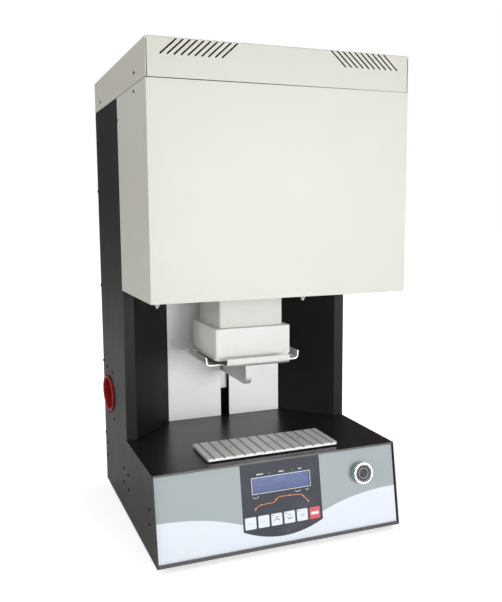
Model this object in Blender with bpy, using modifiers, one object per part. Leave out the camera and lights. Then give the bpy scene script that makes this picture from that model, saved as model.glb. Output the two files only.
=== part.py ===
# Dental lab sintering furnace with a lift-up hearth.
# Metres, +Z up. X runs to the right, Y runs from the front to the rear.
# The origin is the middle of the footprint, on the surface that the feet stand on.

import math

import bmesh
import bpy
from mathutils import Matrix, Vector

# Cabinet. Heights are above its underside, setbacks are behind the head's front face.
CABINET_WIDTH = 0.400
CABINET_DEPTH = 0.387
COVER_SEAM = 0.6785
COVER_HEIGHT = 0.0525
HEAD_BOTTOM = 0.379
BASE_HEIGHT = 0.1304
PANEL_LEAN = 0.022
COLUMN_SETBACK = 0.193
CHAMBER_SHARE = 0.4987
BACK_PANEL_SHARE = 0.7075
LIFT_SHARE = 0.8269
SHEET = 0.0015
SEAT = 0.0003
RUNNING = 0.0005
OVERRUN = 0.004
MERGE = 0.00001

# Feet
FOOT_HEIGHT = 0.008
FOOT_RADIUS = 0.0125
FOOT_TAPER = 0.0025
FOOT_INSET_X = 0.034
FOOT_INSET_Y = 0.036

# Folded edges of the base
PAN_LIP = 0.0050
TOP_LIP = 0.0030

# Recess in the column
FLANGE_WIDTH = 0.0180
BACK_PANEL_WIDTH = 0.2127
WALL_RETURN = 0.010
SLOT_WIDTH = 0.0165
SLOT_DROP = 0.029

# Rear panel
REAR_INSET = 0.0045
VENT_LENGTH = 0.060
VENT_WIDTH = 0.004
VENT_PITCH = 0.011
VENT_COUNT = 6
VENT_HEIGHT = 0.135
VENT_SPACING = 0.200

# Top cover louvres
COVER_SLOT_COUNT = 10
COVER_SLOT_PITCH = 0.00956
COVER_SLOT_WIDTH = 0.0022
COVER_SLOT_RISE = 0.0301
COVER_SLOT_SIDE = 0.0195
COVER_SLOT_LAP = 0.006
COVER_ROUND = 0.0020
COVER_ROUND_STEPS = 3
COVER_SLOT_LEAN = math.radians(48)
COVER_SHEET = 0.0010
CORNER_SLIT = 0.0011
CORNER_SLIT_MARGIN = 0.004

# Head floor and firing chamber
FLOOR_RAISE = 0.0030
CHAMBER_FRONT_SPACE = 0.043
CHAMBER_SIDE_SPACE = 0.050
THROAT_WIDTH = 0.114
THROAT_HEIGHT = 0.079
HOT_ZONE_WIDTH = 0.164
HOT_ZONE_HEIGHT = 0.090
ROOF_THICKNESS = 0.080
HEARTH_OPENING = 0.137

# Heating elements
ELEMENT_RADIUS = 0.0040
ELEMENT_OFFSET = 0.070
ELEMENT_SHANK_PITCH = 0.030
ELEMENT_DROP = 0.066
ELEMENT_TURN_SETBACK = 0.010
ELEMENT_STICK_OUT = 0.022
ELEMENT_ARC_STEPS = 8

# Thermocouple
PROBE_RADIUS = 0.0040
PROBE_REACH = 0.022
PROBE_COLLAR_RADIUS = 0.010
PROBE_COLLAR_HEIGHT = 0.008
PROBE_HEAD_RADIUS = 0.014
PROBE_HEAD_HEIGHT = 0.012

# Hanging studs under the head floor
STUD_WALL_GAP = 0.015
STUD_SHARE = 0.421
STUD_RADIUS = 0.0021
STUD_DROP = 0.0368
STUD_NUT_RADIUS = 0.0045
STUD_NUT_HEIGHT = 0.0060
STUD_NUT_RISE = 0.0035

# Side grips
GRIP_REAR_SPACE = 0.053
GRIP_HEIGHT = 0.178
GRIP_LENGTH = 0.094
GRIP_WIDTH = 0.065
GRIP_RIM = 0.0065
GRIP_PROUD = 0.0035
GRIP_WALL = 0.0018
GRIP_DEPTH = 0.034
GRIP_FLOOR_SHRINK = 0.0060
GRIP_STEPS = 32
GRIP_RIM_STEPS = 6

# Front panel, in its own plane: distances run up the slope from the cabinet's underside
PANEL_RECESS = 0.0030
FILM = 0.0005
PANEL_START = 0.0040
PANEL_TOP_MARGIN = 0.0030
DISPLAY_WIDTH = 0.0975
DISPLAY_HEIGHT = 0.0245
DISPLAY_SHARE = 0.7191
DISPLAY_FRAME = 0.006
DISPLAY_DEPTH = 0.008
WINDOW_THICKNESS = 0.0014
KEY_COUNT = 6
KEY_SIZE = 0.0178
KEY_PITCH = 0.0213
KEY_ROW_SHIFT = -0.0008
KEY_CENTRE = 0.0411
KEY_PROUD = 0.0008
KEY_CORNER = 0.0016
KEY_FLANGE = 0.0010
KEY_FLANGE_LAP = 0.0010
KEY_STEM = 0.0040
KEY_STEM_LENGTH = 0.0014
KEY_TRAVEL = 0.0005
BOARD_WIDTH = 0.150
BOARD_LOW = 0.022
BOARD_HIGH = 0.114
BOARD_THICKNESS = 0.0016
SWITCH_SIZE = 0.0060
STANDOFF_RADIUS = 0.0030
STANDOFF_INSET = 0.005
ROUND_SIDES = 24

# Knob
KNOB_X = 0.1365
KNOB_UP = 0.0918
KNOB_RADIUS = 0.0165
KNOB_HEIGHT = 0.0125
KNOB_FLUTES = 32
KNOB_FLUTE_DEPTH = 0.0005
KNOB_RING = 0.0022
KNOB_FACE_DROP = 0.0006
KNOB_FACE_THICKNESS = 0.0016
KNOB_SHAFT_RADIUS = 0.0030
ENCODER_BUSH_RADIUS = 0.0045
ENCODER_SIZE = 0.024
ENCODER_DEPTH = 0.014
ENCODER_CLEAR = 0.001

# Cooling plate on the base
PLATE_WIDTH = 0.2175
PLATE_SHIFT = -0.0008
PLATE_DEPTH = 0.0785
PLATE_SETBACK = 0.041
PLATE_GAP = 0.0022
PLATE_THICKNESS = 0.0040
PLATE_CORNER = 0.0030
PLATE_GROOVES = 13
PLATE_GROOVE_PITCH = 0.01646
PLATE_GROOVE_WIDTH = 0.0024
PLATE_GROOVE_DEPTH = 0.0016
PLATE_SCREW_X = 0.0585
PLATE_SCREW_BACK = 0.042
PLATE_BOSS_RADIUS = 0.006
PLATE_SCREW_RADIUS = 0.0020

# Hearth: ceramic blocks, tray and arm, in the photographed position of the lift
LOWER_BLOCK_WIDTH = 0.130
LOWER_BLOCK_HEIGHT = 0.0465
LOWER_BLOCK_DROP = 0.063
UPPER_BLOCK_WIDTH = 0.110
UPPER_BLOCK_HEIGHT = 0.0757
BLOCK_CORNER = 0.0040
BLOCK_CORNER_STEPS = 4
BLOCK_ROUND = 0.0014
BLOCK_PLATE = 0.0050
BLOCK_PLATE_CORNER = 0.0100
BLOCK_FOOT_INSET = 0.025
TRAY_DROP = 0.0125
TRAY_SHEET = 0.0020
TRAY_LIP_RADIUS = 0.0062
TRAY_LIP_ANGLE = math.radians(84)
TRAY_LIP_STEPS = 6
TRAY_LIP_RISE = 0.0086
TRAY_WIDTH = 0.162
TRAY_FRONT_REACH = 0.087
TRAY_SIDE_LEAD = 0.062
TRAY_SIDE_TRAIL = 0.044
TRAY_REAR_REACH = 0.059
TRAY_FRONT_LIP_WIDTH = 0.108
ARM_WIDTH = 0.010
ARM_REACH = 0.0405
ARM_HEIGHT = 0.0425
ARM_CORNER = 0.012
ARM_CORNER_STEPS = 6

# Lift
CARRIAGE_WIDTH = 0.100
CARRIAGE_DEPTH = 0.036
CARRIAGE_HEIGHT = 0.046
CARRIAGE_DROP = 0.021
CARRIAGE_RIB_WIDTH = 0.0140
CARRIAGE_RIB_DROP = 0.010
CARRIAGE_RIB_GAP = 0.0102
NUT_RADIUS = 0.011
NUT_FLANGE_RADIUS = 0.016
NUT_FLANGE_HEIGHT = 0.005
ROD_RADIUS = 0.005
ROD_SPACING = 0.072
SCREW_RADIUS = 0.006
SCREW_STICK_OUT = 0.004
BRACKET_WIDTH = 0.110
BRACKET_THICKNESS = 0.008
BRACKET_LOW = 0.088
BRACKET_DROP = 0.061
BRACKET_FRONT_MARGIN = 0.017
BACKPLATE_THICKNESS = 0.003
BACKPLATE_WIDTH = 0.140
BACKPLATE_DROP = 0.034
COUPLING_RADIUS = 0.009
COUPLING_HEIGHT = 0.014
MOTOR_SIZE = 0.056
MOTOR_HEIGHT = 0.056
MOTOR_CORNER = 0.006
MOTOR_CLEAR = 0.002
MOTOR_SHAFT_RADIUS = 0.0032
MOTOR_SHAFT_LENGTH = 0.008

# Power parts in the base
TRANSFORMER_SIDE_SPACE = 0.030
TRANSFORMER_SETBACK = 0.110
CORE_WIDTH = 0.090
CORE_DEPTH = 0.046
CORE_HEIGHT = 0.076
COIL_WIDTH = 0.044
COIL_DEPTH = 0.082
COIL_HEIGHT = 0.048
SINK_SIDE_SPACE = 0.032
SINK_SETBACK = 0.120
SINK_WIDTH = 0.096
SINK_LENGTH = 0.090
SINK_BASE = 0.006
SINK_FIN_COUNT = 9
SINK_FIN_HEIGHT = 0.024
SINK_SLOT_SHARE = 0.45
RELAY_WIDTH = 0.045
RELAY_LENGTH = 0.058
RELAY_HEIGHT = 0.023

# Rear fittings
FAN_HEIGHT = 0.560
FAN_SIZE = 0.070
FAN_DEPTH = 0.025
FAN_BORE_RADIUS = 0.0330
FAN_HUB_RADIUS = 0.014
FAN_TIP_GAP = 0.0010
FAN_BLADES = 7
FAN_ROOT_SHARE = 0.9
FAN_CHORD_SHARE = 0.8
FAN_BLADE_THICKNESS = 0.0016
FAN_BLADE_PITCH = math.radians(38)
FAN_BOSS_DEPTH = 0.005
FAN_SPOKE_WIDTH = 0.005
FAN_SPOKES = 3
GRILLE_SLOTS = 9
GRILLE_PITCH = 0.007
GRILLE_SLOT = 0.0045
INLET_X = 0.118
INLET_HEIGHT = 0.052
INLET_WIDTH = 0.028
INLET_TALL = 0.022
INLET_FLANGE_LAP = 0.007
INLET_FLANGE = 0.002
INLET_BODY_DEPTH = 0.028
INLET_WALL = 0.003
INLET_SOCKET_DEPTH = 0.016
INLET_PIN = 0.0020
INLET_PIN_TALL = 0.0040
INLET_PIN_SPREAD = 0.007
INLET_PIN_DROP = 0.004
INLET_PIN_LENGTH = 0.012
SWITCH_X = 0.080
SWITCH_WIDTH = 0.014
SWITCH_TALL = 0.024
SWITCH_WALL = 0.0015
SWITCH_DEPTH = 0.018
ROCKER_TILT = math.radians(8)
ROCKER_DEPTH = 0.009
ROCKER_PROUD = 0.0005

# Worked out from the sizes above
HALF_WIDTH = CABINET_WIDTH / 2
INNER_HALF = HALF_WIDTH - SHEET - SEAT
FRONT = -CABINET_DEPTH / 2
REAR = CABINET_DEPTH / 2
COVER_TOP = COVER_SEAM + COVER_HEIGHT
SLOPE_LENGTH = math.hypot(BASE_HEIGHT, PANEL_LEAN)
LEAN_ANGLE = math.atan2(PANEL_LEAN, BASE_HEIGHT)
DISPLAY_CENTRE = SLOPE_LENGTH * DISPLAY_SHARE
HEAD_FLOOR = HEAD_BOTTOM + FLOOR_RAISE
CHAMBER_BASE = HEAD_FLOOR + SHEET + SEAT
HOT_ZONE_BASE = CHAMBER_BASE + THROAT_HEIGHT + SEAT
ROOF_BASE = HOT_ZONE_BASE + HOT_ZONE_HEIGHT + SEAT
ROOF_TOP = ROOF_BASE + ROOF_THICKNESS
CHAMBER_SETBACK = CABINET_DEPTH * CHAMBER_SHARE
CHAMBER_WIDTH = CABINET_WIDTH - 2 * CHAMBER_SIDE_SPACE
CHAMBER_DEPTH = 2 * (CHAMBER_SETBACK - CHAMBER_FRONT_SPACE)
BACK_PANEL_SETBACK = CABINET_DEPTH * BACK_PANEL_SHARE
REAR_PANEL_SETBACK = CABINET_DEPTH - REAR_INSET - SHEET
GRIP_SETBACK = CABINET_DEPTH - GRIP_REAR_SPACE
STUD_SETBACK = COLUMN_SETBACK + STUD_SHARE * (BACK_PANEL_SETBACK - COLUMN_SETBACK)
LOWER_BLOCK_TOP = HEAD_BOTTOM - LOWER_BLOCK_DROP
LOWER_BLOCK_BOTTOM = LOWER_BLOCK_TOP - LOWER_BLOCK_HEIGHT
TRAY_BOTTOM = LOWER_BLOCK_BOTTOM - TRAY_DROP
LIFT_SETBACK = CABINET_DEPTH * LIFT_SHARE
CARRIAGE_TOP = TRAY_BOTTOM - CARRIAGE_DROP
CARRIAGE_BOTTOM = CARRIAGE_TOP - CARRIAGE_HEIGHT
CARRIAGE_RIB_SETBACK = BACK_PANEL_SETBACK + CARRIAGE_RIB_GAP
BRACKET_HIGH = HEAD_BOTTOM - BRACKET_DROP
BACKPLATE_SETBACK = LIFT_SETBACK + MOTOR_SIZE / 2 + MOTOR_CLEAR
FILM_FACE = -PANEL_RECESS
PANEL_FACE = FILM_FACE - FILM
PANEL_BACK = PANEL_FACE - SHEET
BOARD_FACE = PANEL_BACK - 2 * SEAT - DISPLAY_DEPTH
KEY_STEM_END = PANEL_BACK - SEAT - KEY_FLANGE - KEY_STEM_LENGTH


def up(height):
    """World height of a point above the cabinet's underside."""
    return FOOT_HEIGHT + height


def back(setback):
    """World depth of a point behind the head's front face."""
    return FRONT + setback


# Scene, materials and object helpers

def clear_scene():
    for old in list(bpy.data.objects):
        bpy.data.objects.remove(old, do_unlink=True)


def new_collection(name):
    group = bpy.data.collections.new(name)
    bpy.context.scene.collection.children.link(group)
    return group


clear_scene()
FURNACE = new_collection("dental_furnace")
CUTTERS = new_collection("cutters")


def make_material(name, color, roughness, metallic=0.0, alpha=1.0):
    mat = bpy.data.materials.new(name)
    mat.use_nodes = True
    shader = mat.node_tree.nodes["Principled BSDF"]
    shader.inputs["Base Color"].default_value = (*color, 1.0)
    shader.inputs["Roughness"].default_value = roughness
    shader.inputs["Metallic"].default_value = metallic
    shader.inputs["Alpha"].default_value = alpha
    return mat


CREAM = make_material("cream_paint", (0.72, 0.71, 0.66), 0.45)
BLACK = make_material("black_paint", (0.045, 0.045, 0.045), 0.40)
WHITE = make_material("white_paint", (0.78, 0.80, 0.82), 0.45)
ALUMINIUM = make_material("aluminium", (0.52, 0.52, 0.50), 0.35, 1.0)
STEEL = make_material("steel", (0.55, 0.55, 0.55), 0.30, 1.0)
CHROME = make_material("chrome", (0.75, 0.75, 0.75), 0.12, 1.0)
CERAMIC = make_material("ceramic_fibre", (0.88, 0.88, 0.86), 0.95)
ELEMENT = make_material("heating_element", (0.12, 0.11, 0.11), 0.55, 0.4)
RUBBER = make_material("rubber", (0.03, 0.03, 0.03), 0.85)
RED = make_material("red_plastic", (0.35, 0.02, 0.03), 0.40)
FILM_PRINT = make_material("panel_film", (0.80, 0.86, 0.90), 0.50)
KEY_WHITE = make_material("key_white", (0.80, 0.87, 0.95), 0.50)
KEY_RED = make_material("key_red", (0.75, 0.05, 0.09), 0.50)
CLEAR = make_material("clear_window", (0.85, 0.88, 0.95), 0.05, 0.0, 0.35)
BLACK_PLASTIC = make_material("black_plastic", (0.03, 0.03, 0.03), 0.45)
BOARD = make_material("circuit_board", (0.03, 0.16, 0.07), 0.50)
COPPER = make_material("copper_winding", (0.60, 0.26, 0.12), 0.40, 0.9)


def add_object(name, bm, mat, parent=None, group=None):
    mesh = bpy.data.meshes.new(name)
    bm.to_mesh(mesh)
    bm.free()
    mesh.materials.append(mat)
    obj = bpy.data.objects.new(name, mesh)
    obj.parent = parent
    (group or FURNACE).objects.link(obj)
    return obj


def make_round(obj, angle=math.radians(35)):
    obj.data.shade_smooth()
    obj.data.set_sharp_from_angle(angle=angle)
    return obj


def new_empty(name, location, rotation=(0.0, 0.0, 0.0), parent=None):
    empty = bpy.data.objects.new(name, None)
    empty.location = location
    empty.rotation_euler = rotation
    empty.parent = parent
    FURNACE.objects.link(empty)
    return empty


def as_cutter(obj):
    obj.hide_render = True
    obj.display_type = "WIRE"
    return obj


def combine(obj, tool, operation):
    mod = obj.modifiers.new(operation.lower(), "BOOLEAN")
    mod.operation = operation
    mod.solver = "EXACT"
    mod.object = tool
    return obj


def bevel(obj, width, segments=2, limit=math.radians(40)):
    mod = obj.modifiers.new("round", "BEVEL")
    mod.width = width
    mod.segments = segments
    mod.limit_method = "ANGLE"
    mod.angle_limit = limit
    mod.use_clamp_overlap = True
    return obj


def box_mesh(boxes):
    """One mesh of boxes, each given by its low and high corners."""
    bm = bmesh.new()
    for low, high in boxes:
        low, high = Vector(low), Vector(high)
        place = Matrix.Translation((low + high) / 2) @ Matrix.Diagonal((*(high - low), 1.0))
        bmesh.ops.create_cube(bm, size=1.0, matrix=place)
    return bm


def box(name, low, high, mat, parent=None, group=None):
    return add_object(name, box_mesh([(low, high)]), mat, parent, group)


def cylinder_mesh(bm, radius, start, along, sides=ROUND_SIDES):
    """A cylinder from start, as long and as turned as the vector along."""
    along = Vector(along)
    turn = along.to_track_quat("Z", "Y").to_matrix().to_4x4()
    place = Matrix.Translation(Vector(start) + along / 2) @ turn
    bmesh.ops.create_cone(bm, cap_ends=True, segments=sides, radius1=radius, radius2=radius,
                          depth=along.length, matrix=place)


def cylinder(name, radius, start, along, mat, parent=None, group=None, sides=ROUND_SIDES):
    bm = bmesh.new()
    cylinder_mesh(bm, radius, start, along, sides)
    return make_round(add_object(name, bm, mat, parent, group))


def box_cutter(name, boxes, parent=None):
    return as_cutter(add_object(name, box_mesh(boxes), STEEL, parent, CUTTERS))


def round_cutter(name, rods, parent=None, sides=ROUND_SIDES):
    """Cutter of separate cylinders, each a radius, a start and a vector."""
    bm = bmesh.new()
    for radius, start, along in rods:
        cylinder_mesh(bm, radius, start, along, sides)
    return as_cutter(add_object(name, bm, STEEL, parent, CUTTERS))


def turned(name, profile, mat, location, parent=None, closed=False, steps=ROUND_SIDES):
    """A turned piece: the profile's (radius, height) points run down its outer side."""
    bm = bmesh.new()
    verts = [bm.verts.new((radius, 0.0, height)) for radius, height in profile]
    pairs = list(zip(verts, verts[1:]))
    if closed:
        pairs.append((verts[-1], verts[0]))
    for pair in pairs:
        bm.edges.new(pair)
    obj = add_object(name, bm, mat, parent)
    obj.location = location
    screw = obj.modifiers.new("turn", "SCREW")
    screw.steps = steps
    screw.render_steps = steps
    screw.use_merge_vertices = True
    screw.merge_threshold = MERGE
    screw.use_smooth_shade = False
    return obj


# Outlines in a plane

def rectangle(left, low, right, high):
    return [(left, low), (right, low), (right, high), (left, high)]


def centred(x, y, width, height):
    return rectangle(x - width / 2, y - height / 2, x + width / 2, y + height / 2)


def arc(x, y, radius, start, end, steps):
    turns = [start + (end - start) * step / steps for step in range(steps + 1)]
    return [(x + radius * math.cos(turn), y + radius * math.sin(turn)) for turn in turns]


def circle(x, y, radius, sides=ROUND_SIDES):
    return arc(x, y, radius, 0.0, math.tau, sides)[:-1]


def rounded(x, y, width, height, radius, steps):
    """A rectangle about (x, y) with round corners, counterclockwise from the lower left."""
    dx = width / 2 - radius
    dy = height / 2 - radius
    corners = [(-dx, -dy, 2), (dx, -dy, 3), (dx, dy, 0), (-dx, dy, 1)]
    points = []
    for cx, cy, quarter in corners:
        start = quarter * math.pi / 2
        points += arc(x + cx, y + cy, radius, start, start + math.pi / 2, steps)
    return points


def oval(x, y, width, height, steps):
    """An ellipse about (x, y), counterclockwise."""
    turns = [2 * math.pi * step / steps for step in range(steps)]
    return [(x + width / 2 * math.cos(turn), y + height / 2 * math.sin(turn)) for turn in turns]


def plane_xy(height):
    return Matrix.Translation((0.0, 0.0, height))


def plane_xz(depth):
    """Local X stays X, local Y becomes Z, and local Z faces the front."""
    turn = Matrix(((1.0, 0.0, 0.0), (0.0, 0.0, -1.0), (0.0, 1.0, 0.0))).to_4x4()
    return Matrix.Translation((0.0, depth, 0.0)) @ turn


def plane_yz(x):
    """Local X becomes Y, local Y becomes Z, and local Z faces the right."""
    turn = Matrix(((0.0, 0.0, 1.0), (1.0, 0.0, 0.0), (0.0, 1.0, 0.0))).to_4x4()
    return Matrix.Translation((x, 0.0, 0.0)) @ turn


def flat_piece(name, outlines, thickness, place, mat, parent=None, group=None):
    """A plate of even thickness: the first outline is its edge, the others are holes."""
    curve = bpy.data.curves.new(name, "CURVE")
    curve.dimensions = "2D"
    curve.fill_mode = "BOTH"
    curve.extrude = thickness / 2
    for outline in outlines:
        spline = curve.splines.new("POLY")
        spline.points.add(len(outline) - 1)
        for point, (x, y) in zip(spline.points, outline):
            point.co = (x, y, 0.0, 1.0)
        spline.use_cyclic_u = True
    drawn = bpy.data.objects.new(name + "_outline", curve)
    FURNACE.objects.link(drawn)
    drawn.matrix_world = place
    bpy.context.view_layer.update()
    evaluated = drawn.evaluated_get(bpy.context.evaluated_depsgraph_get())
    mesh = bpy.data.meshes.new_from_object(evaluated)
    bm = bmesh.new()
    bm.from_mesh(mesh)
    bmesh.ops.remove_doubles(bm, verts=bm.verts, dist=MERGE)
    bmesh.ops.recalc_face_normals(bm, faces=bm.faces)
    for face in bm.faces:
        face.smooth = False
    matrix = drawn.matrix_world.copy()
    bpy.data.objects.remove(drawn, do_unlink=True)
    bpy.data.meshes.remove(mesh)
    obj = add_object(name, bm, mat, parent, group)
    obj.matrix_local = matrix
    return obj


def bent_sheet(name, path, run, outward, mat, thickness=SHEET):
    """Sheet folded along path and as long as run; outward is its first face's outer side."""
    bm = bmesh.new()
    verts = [bm.verts.new(point) for point in path]
    edges = [bm.edges.new(pair) for pair in zip(verts, verts[1:])]
    swept = bmesh.ops.extrude_edge_only(bm, edges=edges)
    moved = [part for part in swept["geom"] if isinstance(part, bmesh.types.BMVert)]
    bmesh.ops.translate(bm, verts=moved, vec=run)
    bm.normal_update()
    first = next(face for face in bm.faces if verts[0] in face.verts)
    if first.normal.dot(Vector(outward)) < 0:
        bmesh.ops.reverse_faces(bm, faces=bm.faces)
    obj = add_object(name, bm, mat)
    add_wall(obj, thickness)
    return obj


def add_wall(obj, thickness):
    mod = obj.modifiers.new("wall", "SOLIDIFY")
    mod.thickness = thickness
    mod.offset = -1.0
    mod.use_even_offset = True
    return mod


def mirror_mesh(obj):
    """Turns a right-hand piece into its left-hand twin."""
    bpy.context.view_layer.update()
    bm = bmesh.new()
    bm.from_mesh(obj.data)
    bmesh.ops.transform(bm, matrix=obj.matrix_local, verts=bm.verts)
    bmesh.ops.scale(bm, vec=(-1.0, 1.0, 1.0), verts=bm.verts)
    bmesh.ops.reverse_faces(bm, faces=bm.faces)
    bm.to_mesh(obj.data)
    bm.free()
    obj.matrix_local = Matrix.Identity(4)
    return obj


# Cabinet

def make_side_panel(name, side):
    """L-shaped cheek of the base and the column, with the hole for the grip."""
    head_side = back(COLUMN_SETBACK)
    top = up(COVER_SEAM) - SEAT
    edge = [(FRONT, up(0)), (REAR, up(0)), (REAR, top), (head_side, top),
            (head_side, up(BASE_HEIGHT)), (back(PANEL_LEAN), up(BASE_HEIGHT))]
    bowl = 2 * (GRIP_RIM - GRIP_WALL - SEAT)
    hole = oval(back(GRIP_SETBACK), up(GRIP_HEIGHT), GRIP_LENGTH - bowl, GRIP_WIDTH - bowl, GRIP_STEPS)
    place = plane_yz(HALF_WIDTH - SHEET / 2)
    panel = flat_piece(name, [edge, hole], SHEET, place, BLACK)
    if side < 0:
        mirror_mesh(panel)
    return panel


def make_base_pan():
    """Floor of the cabinet, folded up at the front along the slope."""
    lip = PAN_LIP / SLOPE_LENGTH
    path = [(-INNER_HALF, back(PANEL_LEAN * lip), up(BASE_HEIGHT * lip)),
            (-INNER_HALF, FRONT, up(0)),
            (-INNER_HALF, back(REAR_PANEL_SETBACK) - SEAT, up(0))]
    return bent_sheet("base_pan", path, (2 * INNER_HALF, 0.0, 0.0), (0.0, -1.0, 0.0), BLACK)


def make_base_top():
    """Top of the base, folded down at the front along the slope."""
    lip = (SLOPE_LENGTH - TOP_LIP) / SLOPE_LENGTH
    path = [(-INNER_HALF, back(PANEL_LEAN * lip), up(BASE_HEIGHT * lip)),
            (-INNER_HALF, back(PANEL_LEAN), up(BASE_HEIGHT)),
            (-INNER_HALF, back(BACK_PANEL_SETBACK) + SHEET, up(BASE_HEIGHT))]
    return bent_sheet("base_top", path, (2 * INNER_HALF, 0.0, 0.0), (0.0, -1.0, 0.0), BLACK)


def column_wall_x(setback):
    """Distance of the recess's slanted walls from the middle."""
    wide = HALF_WIDTH - FLANGE_WIDTH
    narrow = BACK_PANEL_WIDTH / 2 + SEAT
    return wide - (wide - narrow) * (setback - COLUMN_SETBACK) / (BACK_PANEL_SETBACK - COLUMN_SETBACK)


def make_column_wall(name, side):
    """Front flange and slanted wall of the recess, folded from one sheet."""
    low = up(BASE_HEIGHT) + SEAT
    edge = side * column_wall_x(BACK_PANEL_SETBACK)
    path = [(side * INNER_HALF, back(COLUMN_SETBACK), low),
            (side * column_wall_x(COLUMN_SETBACK), back(COLUMN_SETBACK), low),
            (edge, back(BACK_PANEL_SETBACK), low),
            (edge, back(BACK_PANEL_SETBACK + WALL_RETURN), low)]
    run = (0.0, 0.0, up(HEAD_FLOOR) - SEAT - low)
    return bent_sheet(name, path, run, (0.0, -1.0, 0.0), BLACK)


def make_back_panel():
    """White panel at the back of the recess, slotted for the lift's arm."""
    half = BACK_PANEL_WIDTH / 2
    slot = SLOT_WIDTH / 2
    low = up(BASE_HEIGHT) + SEAT
    high = up(HEAD_FLOOR) - SEAT
    slot_top = up(HEAD_BOTTOM - SLOT_DROP)
    outline = [(-half, low), (-slot, low), (-slot, slot_top), (slot, slot_top),
               (slot, low), (half, low), (half, high), (-half, high)]
    return flat_piece("back_panel", [outline], SHEET,
                      plane_xz(back(BACK_PANEL_SETBACK) + SHEET / 2), WHITE)


def grille_holes():
    """Slots of the fan grille, each as long as its chord of the fan's bore."""
    holes = []
    for index in range(GRILLE_SLOTS):
        rise = (index - (GRILLE_SLOTS - 1) / 2) * GRILLE_PITCH
        half = math.sqrt(FAN_BORE_RADIUS ** 2 - rise ** 2)
        holes.append(centred(0.0, up(FAN_HEIGHT) + rise, 2 * half, GRILLE_SLOT))
    return holes


def vent_holes():
    holes = []
    for side in (-1, 1):
        for index in range(VENT_COUNT):
            rise = VENT_HEIGHT + index * VENT_PITCH
            holes.append(centred(side * VENT_SPACING / 2, up(rise), VENT_LENGTH, VENT_WIDTH))
    return holes


def make_rear_panel():
    """Rear sheet with the fan grille, the vents and the holes for inlet and switch."""
    edge = rectangle(-INNER_HALF, up(0), INNER_HALF, up(COVER_SEAM) - SEAT)
    inlet = centred(INLET_X, up(INLET_HEIGHT), INLET_WIDTH, INLET_TALL)
    switch = centred(SWITCH_X, up(INLET_HEIGHT), SWITCH_WIDTH, SWITCH_TALL)
    outlines = [edge, inlet, switch] + grille_holes() + vent_holes()
    return flat_piece("rear_panel", outlines, SHEET,
                      plane_xz(back(REAR_PANEL_SETBACK) + SHEET / 2), BLACK)


def make_head_shell():
    """Front and sides of the head, folded from one sheet."""
    low = up(HEAD_BOTTOM)
    rear = back(COLUMN_SETBACK) - SEAT
    path = [(-HALF_WIDTH, rear, low), (-HALF_WIDTH, FRONT, low),
            (HALF_WIDTH, FRONT, low), (HALF_WIDTH, rear, low)]
    run = (0.0, 0.0, up(COVER_SEAM) - SEAT - low)
    return bent_sheet("head_shell", path, run, (-1.0, 0.0, 0.0), CREAM)


def cover_slot_cutter():
    """Slanted slots that run up the front of the cover and over its top edge."""
    bm = bmesh.new()
    foot_height = COVER_SEAM + COVER_SLOT_RISE
    rise = COVER_TOP - foot_height
    reach = (rise + OVERRUN) / math.cos(COVER_SLOT_LEAN)
    depth = COVER_SLOT_LAP + OVERRUN
    for side in (-1, 1):
        for index in range(COVER_SLOT_COUNT):
            x = side * (HALF_WIDTH - COVER_SLOT_SIDE - index * COVER_SLOT_PITCH)
            turn = Matrix.Rotation(-side * COVER_SLOT_LEAN, 4, "Y")
            size = Matrix.Diagonal((COVER_SLOT_WIDTH, depth, reach, 1.0))
            lift = Matrix.Translation((0.0, 0.0, reach / 2))
            foot = Matrix.Translation((x, FRONT - OVERRUN + depth / 2, up(foot_height)))
            bmesh.ops.create_cube(bm, size=1.0, matrix=foot @ turn @ lift @ size)
    return as_cutter(add_object("cover_slots", bm, STEEL, group=CUTTERS))


def corner_slit_cutter():
    """Slits between the cover's folded front and its sides."""
    slits = []
    for side in (-1, 1):
        outer = side * (HALF_WIDTH - COVER_SHEET)
        inner = outer - side * CORNER_SLIT
        slits.append(((min(inner, outer), FRONT - OVERRUN, up(COVER_SEAM) - OVERRUN),
                      (max(inner, outer), FRONT + OVERRUN, up(COVER_TOP) - CORNER_SLIT_MARGIN)))
    return box_cutter("cover_corner_slits", slits)


def make_top_cover():
    """Lid over the head and the column: a shell open below, slotted at the front."""
    low = Vector((-HALF_WIDTH, FRONT, up(COVER_SEAM)))
    high = Vector((HALF_WIDTH, REAR, up(COVER_TOP)))
    bm = box_mesh([(low, high)])
    below = min(bm.faces, key=lambda face: face.calc_center_median().z)
    above = max(bm.faces, key=lambda face: face.calc_center_median().z)
    top_edges = list(above.edges)
    bmesh.ops.delete(bm, geom=[below], context="FACES_ONLY")
    bmesh.ops.bevel(bm, geom=top_edges, offset=COVER_ROUND, offset_type="OFFSET", profile=0.5,
                    segments=COVER_ROUND_STEPS, affect="EDGES")
    cover = add_object("top_cover", bm, CREAM)
    add_wall(cover, COVER_SHEET)
    combine(cover, cover_slot_cutter(), "DIFFERENCE")
    return combine(cover, corner_slit_cutter(), "DIFFERENCE")


def stud_x(side):
    return side * (column_wall_x(STUD_SETBACK) - STUD_WALL_GAP)


def make_head_floor():
    """Plate that closes the head below and carries the firing chamber."""
    front = FRONT + SHEET + SEAT
    rear = back(REAR_PANEL_SETBACK) - SEAT
    edge = rectangle(-INNER_HALF, front, INNER_HALF, rear)
    hole = centred(0.0, back(CHAMBER_SETBACK), HEARTH_OPENING, HEARTH_OPENING)
    studs = [circle(stud_x(side), back(STUD_SETBACK), STUD_RADIUS + SEAT) for side in (-1, 1)]
    return flat_piece("head_floor", [edge, hole] + studs, SHEET,
                      plane_xy(up(HEAD_FLOOR) + SHEET / 2), CREAM)


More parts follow.
